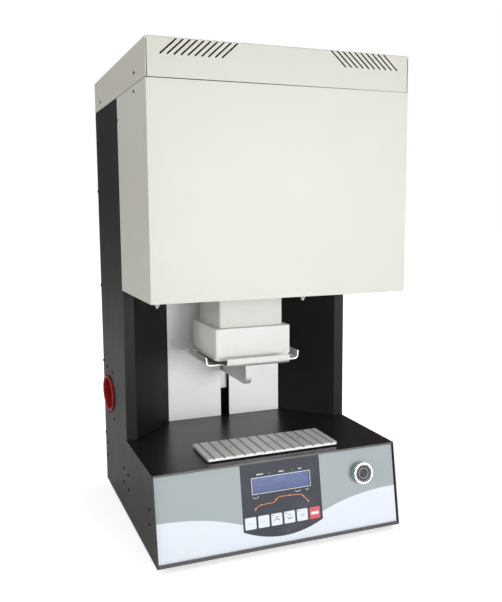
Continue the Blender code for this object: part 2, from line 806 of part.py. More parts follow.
def make_foot(name, x, depth):
    top = FOOT_HEIGHT - SEAT
    foot = turned(name, [(0.0, top), (FOOT_RADIUS, top), (FOOT_RADIUS - FOOT_TAPER, 0.0),
                         (0.0, 0.0)], RUBBER, (x, depth, 0.0))
    return foot


def make_feet():
    number = 1
    for depth in (FRONT + FOOT_INSET_Y, REAR - FOOT_INSET_Y):
        for x in (FOOT_INSET_X - HALF_WIDTH, HALF_WIDTH - FOOT_INSET_X):
            make_foot("foot_%d" % number, x, depth)
            number += 1


def make_grip(name, side):
    """Recessed carrying grip: an oval bead on the cheek and a bowl behind it."""
    outer = HALF_WIDTH + 2 * SEAT
    centre = (back(GRIP_SETBACK), up(GRIP_HEIGHT))
    rings = []
    for step in range(GRIP_RIM_STEPS + 1):
        angle = math.pi * step / GRIP_RIM_STEPS
        rings.append((outer + GRIP_PROUD * math.sin(angle), GRIP_RIM * (1 - math.cos(angle))))
    rings.append((outer - GRIP_DEPTH, 2 * GRIP_RIM + 2 * GRIP_FLOOR_SHRINK))
    bm = bmesh.new()
    loops = []
    for x, shrink in rings:
        outline = oval(*centre, GRIP_LENGTH - shrink, GRIP_WIDTH - shrink, GRIP_STEPS)
        verts = [bm.verts.new((x, y, z)) for y, z in outline]
        edges = [bm.edges.new(pair) for pair in zip(verts, verts[1:] + verts[:1])]
        loops.append(edges)
    for near, far in zip(loops, loops[1:]):
        bmesh.ops.bridge_loops(bm, edges=near + far)
    bmesh.ops.contextual_create(bm, geom=loops[-1])
    bmesh.ops.recalc_face_normals(bm, faces=bm.faces)
    bm.normal_update()
    floor_face = max(bm.faces, key=lambda face: len(face.verts))
    if floor_face.normal.x < 0:
        bmesh.ops.reverse_faces(bm, faces=bm.faces)
    grip = add_object(name, bm, RED)
    if side < 0:
        mirror_mesh(grip)
    add_wall(grip, GRIP_WALL)
    return make_round(grip)


# Firing chamber

def chamber_outline():
    return centred(0.0, back(CHAMBER_SETBACK), CHAMBER_WIDTH, CHAMBER_DEPTH)


def chamber_ring(name, inner, low, height):
    """One layer of the chamber's walls about a square hole."""
    outlines = [chamber_outline(), centred(0.0, back(CHAMBER_SETBACK), inner, inner)]
    return flat_piece(name, outlines, height, plane_xy(up(low) + height / 2), CERAMIC)


def shank_depths():
    """Depths of an element's four shanks."""
    middle = back(CHAMBER_SETBACK)
    return [middle + (index - 1.5) * ELEMENT_SHANK_PITCH for index in range(4)]


def make_chamber():
    """Fibre insulation in three layers: the throat, the hot zone's walls and the roof."""
    chamber_ring("throat_ring", THROAT_WIDTH, CHAMBER_BASE, THROAT_HEIGHT)
    chamber_ring("hot_zone_walls", HOT_ZONE_WIDTH, HOT_ZONE_BASE, HOT_ZONE_HEIGHT)
    holes = [circle(0.0, back(CHAMBER_SETBACK), PROBE_RADIUS + SEAT)]
    depths = shank_depths()
    for side in (-1, 1):
        for depth in (depths[0], depths[-1]):
            holes.append(circle(side * ELEMENT_OFFSET, depth, ELEMENT_RADIUS + SEAT))
    flat_piece("chamber_roof", [chamber_outline()] + holes, ROOF_THICKNESS,
               plane_xy(up(ROOF_BASE) + ROOF_THICKNESS / 2), CERAMIC)


def element_path(x):
    """Route of a heating element: four shanks joined by three half-round bends."""
    depths = shank_depths()
    radius = ELEMENT_SHANK_PITCH / 2
    low = up(ROOF_BASE) - ELEMENT_DROP
    high = up(ROOF_BASE) - ELEMENT_TURN_SETBACK - radius
    top = up(ROOF_TOP) + ELEMENT_STICK_OUT
    points = [(x, depths[0], top)]
    bends = [(low, math.pi, math.tau), (high, math.pi, 0.0), (low, math.pi, math.tau)]
    for depth, (height, start, end) in zip(depths, bends):
        for y, z in arc(depth + radius, height, radius, start, end, ELEMENT_ARC_STEPS):
            points.append((x, y, z))
    points.append((x, depths[-1], top))
    return points


def tube(name, points, radius, mat, resolution=1):
    """A bar bent along points."""
    curve = bpy.data.curves.new(name, "CURVE")
    curve.dimensions = "3D"
    curve.fill_mode = "FULL"
    curve.bevel_depth = radius
    curve.bevel_resolution = resolution
    curve.use_fill_caps = True
    spline = curve.splines.new("POLY")
    spline.points.add(len(points) - 1)
    for point, place in zip(spline.points, points):
        point.co = (*place, 1.0)
    curve.materials.append(mat)
    obj = bpy.data.objects.new(name, curve)
    FURNACE.objects.link(obj)
    return obj


def make_elements():
    tube("heating_element_left", element_path(-ELEMENT_OFFSET), ELEMENT_RADIUS, ELEMENT)
    tube("heating_element_right", element_path(ELEMENT_OFFSET), ELEMENT_RADIUS, ELEMENT)


def make_thermocouple():
    """Ceramic probe with its collar on the roof and its connection head."""
    seat = ROOF_THICKNESS + SEAT
    collar = seat + PROBE_COLLAR_HEIGHT
    head = collar + PROBE_HEAD_HEIGHT
    profile = [(0.0, head), (PROBE_HEAD_RADIUS, head), (PROBE_HEAD_RADIUS, collar),
               (PROBE_COLLAR_RADIUS, collar), (PROBE_COLLAR_RADIUS, seat),
               (PROBE_RADIUS, seat), (PROBE_RADIUS, -PROBE_REACH), (0.0, -PROBE_REACH)]
    return turned("thermocouple", profile, CERAMIC, (0.0, back(CHAMBER_SETBACK), up(ROOF_BASE)))


def make_stud(name, side):
    """Threaded stud that hangs from the head floor, with its nut."""
    place = (stud_x(side), back(STUD_SETBACK))
    head = up(HEAD_FLOOR) + SHEET + SEAT
    tip = up(HEAD_BOTTOM - STUD_DROP)
    stud = cylinder(name, STUD_RADIUS, (*place, tip), (0.0, 0.0, head - tip), STEEL)
    nut = round_cutter(name + "_nut", [(STUD_NUT_RADIUS, (*place, tip + STUD_NUT_RISE),
                                        (0.0, 0.0, STUD_NUT_HEIGHT))], sides=6)
    combine(stud, nut, "UNION")
    washer = round_cutter(name + "_clamp", [(STUD_NUT_RADIUS, (*place, up(HEAD_FLOOR) - SEAT),
                                             (0.0, 0.0, -STUD_NUT_HEIGHT))], sides=6)
    return combine(stud, washer, "UNION")


# Front panel. Its empty lies in the slope: X to the right, Y up the slope, Z out of the face.

def make_panel_frame():
    return new_empty("panel_frame", (0.0, FRONT, up(0)), (math.pi / 2 - LEAN_ANGLE, 0.0, 0.0))


def key_positions():
    first = KEY_ROW_SHIFT - (KEY_COUNT - 1) / 2 * KEY_PITCH
    return [first + index * KEY_PITCH for index in range(KEY_COUNT)]


def panel_edge():
    return rectangle(-INNER_HALF, PANEL_START, INNER_HALF, SLOPE_LENGTH - PANEL_TOP_MARGIN)


def panel_holes(clearance):
    holes = [centred(0.0, DISPLAY_CENTRE, DISPLAY_WIDTH, DISPLAY_HEIGHT)]
    opening = KEY_SIZE + 2 * clearance
    for x in key_positions():
        holes.append(centred(x, KEY_CENTRE, opening, opening))
    return holes


def make_front_panel(frame):
    bush = circle(KNOB_X, KNOB_UP, ENCODER_BUSH_RADIUS + SEAT)
    outlines = [panel_edge()] + panel_holes(SEAT) + [bush]
    flat_piece("front_panel", outlines, SHEET, plane_xy(PANEL_BACK + SHEET / 2), STEEL, frame)
    flat_piece("panel_film", outlines, FILM - SEAT / 2,
               plane_xy(FILM_FACE - (FILM - SEAT / 2) / 2), FILM_PRINT, frame)


def make_display(frame):
    """Window in the panel's opening and the display module behind it."""
    window = centred(0.0, DISPLAY_CENTRE, DISPLAY_WIDTH - 2 * SEAT, DISPLAY_HEIGHT - 2 * SEAT)
    flat_piece("display_window", [window], WINDOW_THICKNESS,
               plane_xy(PANEL_BACK + WINDOW_THICKNESS / 2), CLEAR, frame)
    low = PANEL_BACK - SEAT - DISPLAY_DEPTH
    width = DISPLAY_WIDTH + 2 * DISPLAY_FRAME
    height = DISPLAY_HEIGHT + 2 * DISPLAY_FRAME
    box("display_module", (-width / 2, DISPLAY_CENTRE - height / 2, low),
        (width / 2, DISPLAY_CENTRE + height / 2, low + DISPLAY_DEPTH), BLACK_PLASTIC, frame)


def make_control_board(frame):
    """Circuit board behind the panel, with its key switches and stand-offs."""
    half = BOARD_WIDTH / 2
    board = box("control_board", (-half, BOARD_LOW, BOARD_FACE - BOARD_THICKNESS),
                (half, BOARD_HIGH, BOARD_FACE), BOARD, frame)
    sunk = BOARD_FACE - BOARD_THICKNESS / 2
    switch = SWITCH_SIZE / 2
    top = KEY_STEM_END - KEY_TRAVEL - SEAT
    switches = [((x - switch, KEY_CENTRE - switch, sunk), (x + switch, KEY_CENTRE + switch, top))
                for x in key_positions()]
    combine(board, box_cutter("board_switches", switches, frame), "UNION")
    posts = []
    for x in (STANDOFF_INSET - half, half - STANDOFF_INSET):
        for y in (BOARD_LOW + STANDOFF_INSET, BOARD_HIGH - STANDOFF_INSET):
            posts.append((STANDOFF_RADIUS, (x, y, sunk), (0.0, 0.0, PANEL_BACK - SEAT - sunk)))
    return combine(board, round_cutter("board_posts", posts, frame, 12), "UNION")


def make_key(name, x, mat, frame):
    """Key cap with the flange that holds it behind the panel and its stem."""
    holder = new_empty(name + "_axis", (x, KEY_CENTRE, 0.0), parent=frame)
    flange = PANEL_BACK - SEAT
    cap = flat_piece(name, [rounded(0.0, 0.0, KEY_SIZE, KEY_SIZE, KEY_CORNER, 3)],
                     FILM_FACE + KEY_PROUD - flange,
                     plane_xy((FILM_FACE + KEY_PROUD + flange) / 2), mat, holder)
    lap = KEY_SIZE / 2 + KEY_FLANGE_LAP
    stem = KEY_STEM / 2
    sunk = KEY_FLANGE / 2
    rim = ((-lap, -lap, flange - KEY_FLANGE), (lap, lap, flange + SEAT / 2))
    combine(cap, box_cutter(name + "_flange", [rim], holder), "UNION")
    post = ((-stem, -stem, KEY_STEM_END), (stem, stem, flange - sunk))
    return combine(cap, box_cutter(name + "_stem", [post], holder), "UNION")


def make_keys(frame):
    names = ["key_1", "key_2", "key_3", "key_4", "key_5", "key_stop"]
    for name, x in zip(names, key_positions()):
        mat = KEY_RED if name == "key_stop" else KEY_WHITE
        make_key(name, x, mat, frame)


def knob_outline():
    """Fluted rim of the knob: two points out and two points in for each flute."""
    low = KNOB_RADIUS - KNOB_FLUTE_DEPTH
    points = []
    for index in range(KNOB_FLUTES):
        for step, radius in enumerate((KNOB_RADIUS, KNOB_RADIUS, low, low)):
            turn = math.tau * (index + step / 4) / KNOB_FLUTES
            points.append((radius * math.cos(turn), radius * math.sin(turn)))
    return points


def make_knob(frame):
    """Fluted metal knob with its shaft, and the dark dial set into its face."""
    axis = new_empty("knob_axis", (KNOB_X, KNOB_UP, FILM_FACE + SEAT), parent=frame)
    knob = flat_piece("knob", [knob_outline()], KNOB_HEIGHT, plane_xy(KNOB_HEIGHT / 2), CHROME, axis)
    inner = KNOB_RADIUS - KNOB_RING
    drop = KNOB_FACE_DROP + KNOB_FACE_THICKNESS + SEAT
    pocket = round_cutter("knob_pocket", [(inner, (0.0, 0.0, KNOB_HEIGHT - drop),
                                           (0.0, 0.0, drop + OVERRUN))], axis, 32)
    combine(knob, pocket, "DIFFERENCE")
    shaft_end = ENCODER_DEPTH + SHEET + FILM
    shaft = round_cutter("knob_shaft", [(KNOB_SHAFT_RADIUS, (0.0, 0.0, -shaft_end),
                                         (0.0, 0.0, shaft_end + KNOB_HEIGHT / 2))], axis)
    combine(knob, shaft, "UNION")
    cylinder("knob_face", inner - SEAT, (0.0, 0.0, KNOB_HEIGHT - drop + SEAT),
             (0.0, 0.0, KNOB_FACE_THICKNESS), BLACK_PLASTIC, axis, sides=32)


def make_encoder(frame):
    """Rotary encoder behind the panel, with the bush that the knob's shaft turns in."""
    top = PANEL_BACK - SEAT
    half = ENCODER_SIZE / 2
    body = box("knob_encoder", (KNOB_X - half, KNOB_UP - half, top - ENCODER_DEPTH - ENCODER_CLEAR),
               (KNOB_X + half, KNOB_UP + half, top), BLACK_PLASTIC, frame)
    place = (KNOB_X, KNOB_UP, top - ENCODER_DEPTH / 2)
    bush = round_cutter("encoder_bush", [(ENCODER_BUSH_RADIUS, place,
                                          (0.0, 0.0, FILM_FACE - SEAT - place[2]))], frame)
    combine(body, bush, "UNION")
    bore_low = top - ENCODER_DEPTH - ENCODER_CLEAR / 2
    bore = round_cutter("encoder_bore", [(KNOB_SHAFT_RADIUS + RUNNING, (KNOB_X, KNOB_UP, bore_low),
                                          (0.0, 0.0, OVERRUN - bore_low))], frame)
    return combine(body, bore, "DIFFERENCE")


# Cooling plate

def make_cooling_plate():
    """Ribbed aluminium plate, held above the base by two bosses under its screws."""
    foot = up(BASE_HEIGHT) + SEAT
    low = up(BASE_HEIGHT) + PLATE_GAP
    top = low + PLATE_THICKNESS
    middle = back(PLATE_SETBACK) + PLATE_DEPTH / 2
    outline = rounded(PLATE_SHIFT, middle, PLATE_WIDTH, PLATE_DEPTH, PLATE_CORNER, BLOCK_CORNER_STEPS)
    plate = flat_piece("cooling_plate", [outline], PLATE_THICKNESS,
                       plane_xy(low + PLATE_THICKNESS / 2), ALUMINIUM)
    combine(plate, groove_cutter(middle, top), "DIFFERENCE")
    bosses = []
    bores = []
    for side in (-1, 1):
        place = (side * PLATE_SCREW_X, back(PLATE_SETBACK) + PLATE_SCREW_BACK)
        bosses.append((PLATE_BOSS_RADIUS, (*place, foot), (0.0, 0.0, low + PLATE_GAP / 2 - foot)))
        bores.append((PLATE_SCREW_RADIUS, (*place, foot - OVERRUN), (0.0, 0.0, top - foot + 2 * OVERRUN)))
    combine(plate, round_cutter("plate_bosses", bosses), "UNION")
    return combine(plate, round_cutter("plate_bores", bores, sides=12), "DIFFERENCE")


def groove_cutter(middle, top):
    """Grooves across the cooling plate, from its front to its rear edge."""
    reach = PLATE_DEPTH / 2 + OVERRUN
    half = PLATE_GROOVE_WIDTH / 2
    grooves = []
    for index in range(PLATE_GROOVES):
        x = PLATE_SHIFT + (index - (PLATE_GROOVES - 1) / 2) * PLATE_GROOVE_PITCH
        grooves.append(((x - half, middle - reach, top - PLATE_GROOVE_DEPTH),
                        (x + half, middle + reach, top + OVERRUN)))
    return box_cutter("plate_grooves", grooves)


# Hearth, which rides on the lift

def block_piece(name, width, low, high):
    """A square fibre block with round upright edges and softly rounded rims."""
    outline = rounded(0.0, back(CHAMBER_SETBACK), width, width, BLOCK_CORNER, BLOCK_CORNER_STEPS)
    block = flat_piece(name, [outline], high - low, plane_xy((low + high) / 2), CERAMIC)
    return bevel(block, BLOCK_ROUND)


def make_lower_block():
    """The block that seals the throat, on a base plate and a foot that stand on the tray."""
    low = up(LOWER_BLOCK_BOTTOM)
    block = block_piece("lower_block", LOWER_BLOCK_WIDTH, low, up(LOWER_BLOCK_TOP))
    middle = back(CHAMBER_SETBACK)
    outline = rounded(0.0, middle, LOWER_BLOCK_WIDTH, LOWER_BLOCK_WIDTH, BLOCK_PLATE_CORNER,
                      BLOCK_CORNER_STEPS)
    plate = flat_piece("block_plate", [outline], BLOCK_PLATE,
                       plane_xy(low - SEAT - BLOCK_PLATE / 2), CERAMIC, group=CUTTERS)
    combine(block, as_cutter(plate), "UNION")
    half = LOWER_BLOCK_WIDTH / 2 - BLOCK_FOOT_INSET
    foot = ((-half, middle - half, up(TRAY_BOTTOM) + TRAY_SHEET + SEAT),
            (half, middle + half, low + BLOCK_PLATE))
    return combine(block, box_cutter("block_foot", [foot]), "UNION")


def make_upper_block():
    """The block that fills the throat and carries the work."""
    low = up(LOWER_BLOCK_TOP) + SEAT
    return block_piece("upper_block", UPPER_BLOCK_WIDTH, low, low + UPPER_BLOCK_HEIGHT)


def make_tray():
    """Sheet tray with turned-up lips at the front and both sides, notched at the corners."""
    inner = TRAY_WIDTH / 2 - TRAY_LIP_RADIUS
    lip = TRAY_FRONT_LIP_WIDTH / 2
    front = back(CHAMBER_SETBACK - TRAY_FRONT_REACH) + TRAY_LIP_RADIUS
    side_front = back(CHAMBER_SETBACK - TRAY_SIDE_LEAD)
    side_rear = back(CHAMBER_SETBACK + TRAY_SIDE_TRAIL)
    rear = back(CHAMBER_SETBACK + TRAY_REAR_REACH)
    low = up(TRAY_BOTTOM)
    outline = [(-lip, front), (lip, front), (lip, side_front), (inner, side_front), (inner, side_rear),
               (inner, rear), (-inner, rear), (-inner, side_rear), (-inner, side_front), (-lip, side_front)]
    bm = bmesh.new()
    verts = [bm.verts.new((x, y, low)) for x, y in outline]
    bmesh.ops.contextual_create(bm, geom=verts)
    turn_up(bm, verts[0], verts[1], (0.0, -1.0, 0.0))
    turn_up(bm, verts[3], verts[4], (1.0, 0.0, 0.0))
    turn_up(bm, verts[7], verts[8], (-1.0, 0.0, 0.0))
    bmesh.ops.remove_doubles(bm, verts=bm.verts, dist=MERGE)
    bmesh.ops.recalc_face_normals(bm, faces=bm.faces)
    bm.normal_update()
    floor = max(bm.faces, key=lambda face: face.calc_area())
    if floor.normal.z > 0:
        bmesh.ops.reverse_faces(bm, faces=bm.faces)
    tray = add_object("lift_tray", bm, STEEL)
    add_wall(tray, TRAY_SHEET)
    return make_round(tray)


def turn_up(bm, first, second, outward):
    """Bends a lip up from the edge between two corners and carries it on straight."""
    outward = Vector(outward)
    upward = Vector((0.0, 0.0, 1.0))
    centre = first.co + upward * TRAY_LIP_RADIUS
    edge = bm.edges.get((first, second))
    bent = bmesh.ops.spin(bm, geom=[edge, first, second], cent=centre, axis=outward.cross(upward),
                          angle=TRAY_LIP_ANGLE, steps=TRAY_LIP_STEPS)
    last = [item for item in bent["geom_last"] if isinstance(item, bmesh.types.BMEdge)]
    risen = bmesh.ops.extrude_edge_only(bm, edges=last)
    moved = [item for item in risen["geom"] if isinstance(item, bmesh.types.BMVert)]
    along = outward * math.cos(TRAY_LIP_ANGLE) + upward * math.sin(TRAY_LIP_ANGLE)
    bmesh.ops.translate(bm, verts=moved, vec=along * TRAY_LIP_RISE)


def make_arm():
    """Flat arm that carries the tray, from the carriage out through the slot."""
    low = up(TRAY_BOTTOM - ARM_HEIGHT)
    high = up(TRAY_BOTTOM) - SEAT
    front = back(CHAMBER_SETBACK - ARM_REACH)
    rear = back(CARRIAGE_RIB_SETBACK) - SEAT
    corner = arc(front + ARM_CORNER, low + ARM_CORNER, ARM_CORNER, math.pi, 1.5 * math.pi,
                 ARM_CORNER_STEPS)
    outline = corner + [(rear, low), (rear, high), (front, high)]
    return flat_piece("lift_arm", [outline], ARM_WIDTH, plane_yz(0.0), ALUMINIUM)


# Lift drive behind the white panel

def make_carriage():
    """Carriage with bores for the guide rods and the nut, and a rib behind the slot."""
    half = CARRIAGE_WIDTH / 2
    middle = back(LIFT_SETBACK)
    depth = CARRIAGE_DEPTH / 2
    body = box("lift_carriage", (-half, middle - depth, up(CARRIAGE_BOTTOM)),
               (half, middle + depth, up(CARRIAGE_TOP)), ALUMINIUM)
    rib = CARRIAGE_RIB_WIDTH / 2
    sunk = middle - depth + SHEET
    rib_box = ((-rib, back(CARRIAGE_RIB_SETBACK), up(CARRIAGE_BOTTOM - CARRIAGE_RIB_DROP)),
               (rib, sunk, up(CARRIAGE_TOP)))
    combine(body, box_cutter("carriage_rib", [rib_box]), "UNION")
    low = up(CARRIAGE_BOTTOM) - OVERRUN
    along = (0.0, 0.0, CARRIAGE_HEIGHT + 2 * OVERRUN)
    bores = [(NUT_RADIUS + SEAT, (0.0, middle, low), along)]
    for side in (-1, 1):
        bores.append((ROD_RADIUS + RUNNING, (side * ROD_SPACING / 2, middle, low), along))
    combine(body, round_cutter("carriage_bores", bores), "DIFFERENCE")
    return body


def make_nut():
    """Flanged nut, seated from below in the carriage."""
    bore = SCREW_RADIUS + RUNNING
    low = -SEAT - NUT_FLANGE_HEIGHT
    profile = [(bore, CARRIAGE_HEIGHT), (NUT_RADIUS, CARRIAGE_HEIGHT), (NUT_RADIUS, -SEAT),
               (NUT_FLANGE_RADIUS, -SEAT), (NUT_FLANGE_RADIUS, low), (bore, low)]
    return turned("lift_nut", profile, COPPER, (0.0, back(LIFT_SETBACK), up(CARRIAGE_BOTTOM)),
                  closed=True)


def make_bracket(name, low, centre_bore):
    """Bearing bracket across the guide rods."""
    middle = back(LIFT_SETBACK)
    rear = back(BACKPLATE_SETBACK) - SEAT
    half = BRACKET_WIDTH / 2
    edge = rectangle(-half, middle - BRACKET_FRONT_MARGIN, half, rear)
    rods = [circle(side * ROD_SPACING / 2, middle, ROD_RADIUS + SEAT) for side in (-1, 1)]
    outlines = [edge, circle(0.0, middle, centre_bore)] + rods
    return flat_piece(name, outlines, BRACKET_THICKNESS,
                      plane_xy(up(low) + BRACKET_THICKNESS / 2), ALUMINIUM)


def make_rod(name, side):
    start = (side * ROD_SPACING / 2, back(LIFT_SETBACK), up(BRACKET_LOW))
    length = BRACKET_HIGH + BRACKET_THICKNESS - BRACKET_LOW
    return cylinder(name, ROD_RADIUS, start, (0.0, 0.0, length), CHROME)


def make_lead_screw():
    """Lead screw with the coupling that takes the motor's shaft."""
    shaft = MOTOR_SHAFT_RADIUS + SEAT
    start = BRACKET_LOW + SEAT
    pocket = start + MOTOR_SHAFT_LENGTH
    end = BRACKET_HIGH + BRACKET_THICKNESS + SCREW_STICK_OUT
    shoulder = BRACKET_LOW + COUPLING_HEIGHT
    profile = [(0.0, end), (SCREW_RADIUS, end), (SCREW_RADIUS, shoulder),
               (COUPLING_RADIUS, shoulder), (COUPLING_RADIUS, start), (shaft, start),
               (shaft, pocket), (0.0, pocket)]
    return turned("lead_screw", profile, STEEL, (0.0, back(LIFT_SETBACK), up(0)))


def make_motor():
    """Stepper motor under the lower bracket."""
    middle = back(LIFT_SETBACK)
    outline = rounded(0.0, middle, MOTOR_SIZE, MOTOR_SIZE, MOTOR_CORNER, 2)
    top = up(BRACKET_LOW) - SEAT
    motor = flat_piece("lift_motor", [outline], MOTOR_HEIGHT, plane_xy(top - MOTOR_HEIGHT / 2), BLACK)
    shaft = round_cutter("motor_shaft", [(MOTOR_SHAFT_RADIUS, (0.0, middle, top - MOTOR_SHAFT_LENGTH),
                                          (0.0, 0.0, 2 * MOTOR_SHAFT_LENGTH))])
    return combine(motor, shaft, "UNION")


def make_backplate():
    half = BACKPLATE_WIDTH / 2
    low = up(SHEET) + SEAT
    depth = back(BACKPLATE_SETBACK)
    return box("lift_backplate", (-half, depth, low),
               (half, depth + BACKPLATE_THICKNESS, up(HEAD_BOTTOM - BACKPLATE_DROP)), STEEL)


# Power parts in the base

def make_transformer():
    """Laminated core with its winding, on the base pan."""
    x = TRANSFORMER_SIDE_SPACE + CORE_WIDTH / 2 - HALF_WIDTH
    y = back(TRANSFORMER_SETBACK)
    floor = up(SHEET) + SEAT
    core = box("transformer", (x - CORE_WIDTH / 2, y - CORE_DEPTH / 2, floor),
               (x + CORE_WIDTH / 2, y + CORE_DEPTH / 2, floor + CORE_HEIGHT), COPPER)
    low = floor + (CORE_HEIGHT - COIL_HEIGHT) / 2
    coil = box_cutter("transformer_coil", [((x - COIL_WIDTH / 2, y - COIL_DEPTH / 2, low),
                                            (x + COIL_WIDTH / 2, y + COIL_DEPTH / 2, low + COIL_HEIGHT))])
    return combine(core, coil, "UNION")


def make_power_controller():
    """Finned heat sink on the base pan, with the power relay on top of its base."""
    floor = up(SHEET) + SEAT
    half = SINK_WIDTH / 2
    x = HALF_WIDTH - SINK_SIDE_SPACE - half
    front = back(SINK_SETBACK) - SINK_LENGTH / 2
    rear = front + SINK_LENGTH
    pitch = SINK_WIDTH / (SINK_FIN_COUNT - SINK_SLOT_SHARE)
    fins_top = floor + SINK_FIN_HEIGHT
    top = fins_top + SINK_BASE
    sink = box("power_controller", (x - half, front, floor), (x + half, rear, top), ALUMINIUM)
    slots = []
    for index in range(1, SINK_FIN_COUNT):
        right = x - half + index * pitch
        slots.append(((right - pitch * SINK_SLOT_SHARE, front - OVERRUN, floor - OVERRUN),
                      (right, rear + OVERRUN, fins_top)))
    combine(sink, box_cutter("sink_slots", slots), "DIFFERENCE")
    y = back(SINK_SETBACK)
    relay = ((x - RELAY_WIDTH / 2, y - RELAY_LENGTH / 2, top - SINK_BASE / 2),
             (x + RELAY_WIDTH / 2, y + RELAY_LENGTH / 2, top + RELAY_HEIGHT))
    return combine(sink, box_cutter("relay", [relay]), "UNION")


# Rear fittings

def make_fan():
    """Cooling fan on the rear panel: its frame with boss and spokes, and its rotor."""
    outer = back(REAR_PANEL_SETBACK) - SEAT
    inner = outer - FAN_DEPTH
    centre = (0.0, up(FAN_HEIGHT))
    edge = rounded(*centre, FAN_SIZE, FAN_SIZE, FAN_SPOKE_WIDTH, 2)
    frame = flat_piece("fan_frame", [edge, circle(*centre, FAN_BORE_RADIUS, 32)], FAN_DEPTH,
                       plane_xz((outer + inner) / 2), BLACK_PLASTIC)
    boss = round_cutter("fan_boss", [(FAN_HUB_RADIUS, (0.0, inner, centre[1]),
                                      (0.0, FAN_BOSS_DEPTH, 0.0))])
    bm = bmesh.new()
    reach = FAN_BORE_RADIUS + SEAT
    for index in range(FAN_SPOKES):
        turn = Matrix.Rotation(math.tau * index / FAN_SPOKES, 4, "Y")
        size = Matrix.Diagonal((FAN_SPOKE_WIDTH, FAN_BOSS_DEPTH / 2, reach, 1.0))
        place = Matrix.Translation((0.0, inner + FAN_BOSS_DEPTH / 4 + SEAT, centre[1]))
        lift = Matrix.Translation((0.0, 0.0, reach / 2))
        bmesh.ops.create_cube(bm, size=1.0, matrix=place @ turn @ lift @ size)
    spokes = as_cutter(add_object("fan_spokes", bm, STEEL, group=CUTTERS))
    combine(spokes, boss, "UNION")
    combine(frame, spokes, "UNION")
    make_fan_rotor(inner + FAN_BOSS_DEPTH + SEAT, outer - SEAT, centre[1])


def make_fan_rotor(inner, outer, height):
    """Hub with pitched blades, on the fan's axis."""
    axis = new_empty("fan_axis", (0.0, (inner + outer) / 2, height))
    length = outer - inner - FAN_BLADE_THICKNESS
    rotor = cylinder("fan_rotor", FAN_HUB_RADIUS, (0.0, -length / 2, 0.0), (0.0, length, 0.0),
                     BLACK_PLASTIC, axis)
    bm = bmesh.new()
    reach = FAN_BORE_RADIUS - FAN_TIP_GAP
    start = FAN_HUB_RADIUS * FAN_ROOT_SHARE
    chord = length / math.cos(FAN_BLADE_PITCH) * FAN_CHORD_SHARE
    for index in range(FAN_BLADES):
        turn = Matrix.Rotation(math.tau * index / FAN_BLADES, 4, "Y")
        pitch = Matrix.Rotation(FAN_BLADE_PITCH, 4, "Z")
        size = Matrix.Diagonal((FAN_BLADE_THICKNESS, chord, reach - start, 1.0))
        lift = Matrix.Translation((0.0, 0.0, (reach + start) / 2))
        bmesh.ops.create_cube(bm, size=1.0, matrix=turn @ lift @ pitch @ size)
    blades = as_cutter(add_object("fan_blades", bm, STEEL, axis, CUTTERS))
    return combine(rotor, blades, "UNION")


def make_inlet():
    """Mains inlet: a flanged body with a socket and three pins in it."""
    outer = back(REAR_PANEL_SETBACK) + SHEET + SEAT
    x, z = INLET_X, up(INLET_HEIGHT)
    wide = INLET_WIDTH / 2 - SEAT
    tall = INLET_TALL / 2 - SEAT
    inlet = box("power_inlet", (x - wide, outer - INLET_BODY_DEPTH, z - tall),
                (x + wide, outer + INLET_FLANGE / 2, z + tall), BLACK_PLASTIC)
    lap = INLET_FLANGE_LAP
    flange = box_cutter("inlet_flange", [((x - wide - lap, outer, z - tall - lap / 2),
                                          (x + wide + lap, outer + INLET_FLANGE, z + tall + lap / 2))])
    combine(inlet, flange, "UNION")
    floor = outer + INLET_FLANGE - INLET_SOCKET_DEPTH
    socket = box_cutter("inlet_socket", [((x - wide + INLET_WALL, floor, z - tall + INLET_WALL),
                                          (x + wide - INLET_WALL, outer + OVERRUN, z + tall - INLET_WALL))])
    combine(inlet, socket, "DIFFERENCE")
    pins = []
    for side, drop in ((-1, -1), (0, 1), (1, -1)):
        px = x + side * INLET_PIN_SPREAD
        pz = z + drop * INLET_PIN_DROP / 2
        pins.append(((px - INLET_PIN / 2, floor - INLET_PIN, pz - INLET_PIN_TALL / 2),
                     (px + INLET_PIN / 2, floor + INLET_PIN_LENGTH, pz + INLET_PIN_TALL / 2)))
    return combine(inlet, box_cutter("inlet_pins", pins), "UNION")


def make_mains_switch():
    """Rocker switch: a frame in the rear panel and a rocker on a cross axis."""
    outer = back(REAR_PANEL_SETBACK) + SHEET + SEAT
    x, z = SWITCH_X, up(INLET_HEIGHT)
    wide = SWITCH_WIDTH / 2 - SEAT
    tall = SWITCH_TALL / 2 - SEAT
    frame = box("switch_frame", (x - wide, outer - SWITCH_DEPTH, z - tall),
                (x + wide, outer + SWITCH_WALL / 2, z + tall), BLACK_PLASTIC)
    lap = SWITCH_WALL
    rim = ((x - wide - lap, outer, z - tall - lap), (x + wide + lap, outer + SWITCH_WALL, z + tall + lap))
    combine(frame, box_cutter("switch_rim", [rim]), "UNION")
    inner_wide = wide - SWITCH_WALL
    inner_tall = tall - SWITCH_WALL
    well = ((x - inner_wide, outer - SWITCH_DEPTH + SWITCH_WALL, z - inner_tall),
            (x + inner_wide, outer + OVERRUN, z + inner_tall))
    combine(frame, box_cutter("switch_well", [well]), "DIFFERENCE")
    make_rocker(x, z, outer, inner_wide - SEAT, inner_tall)


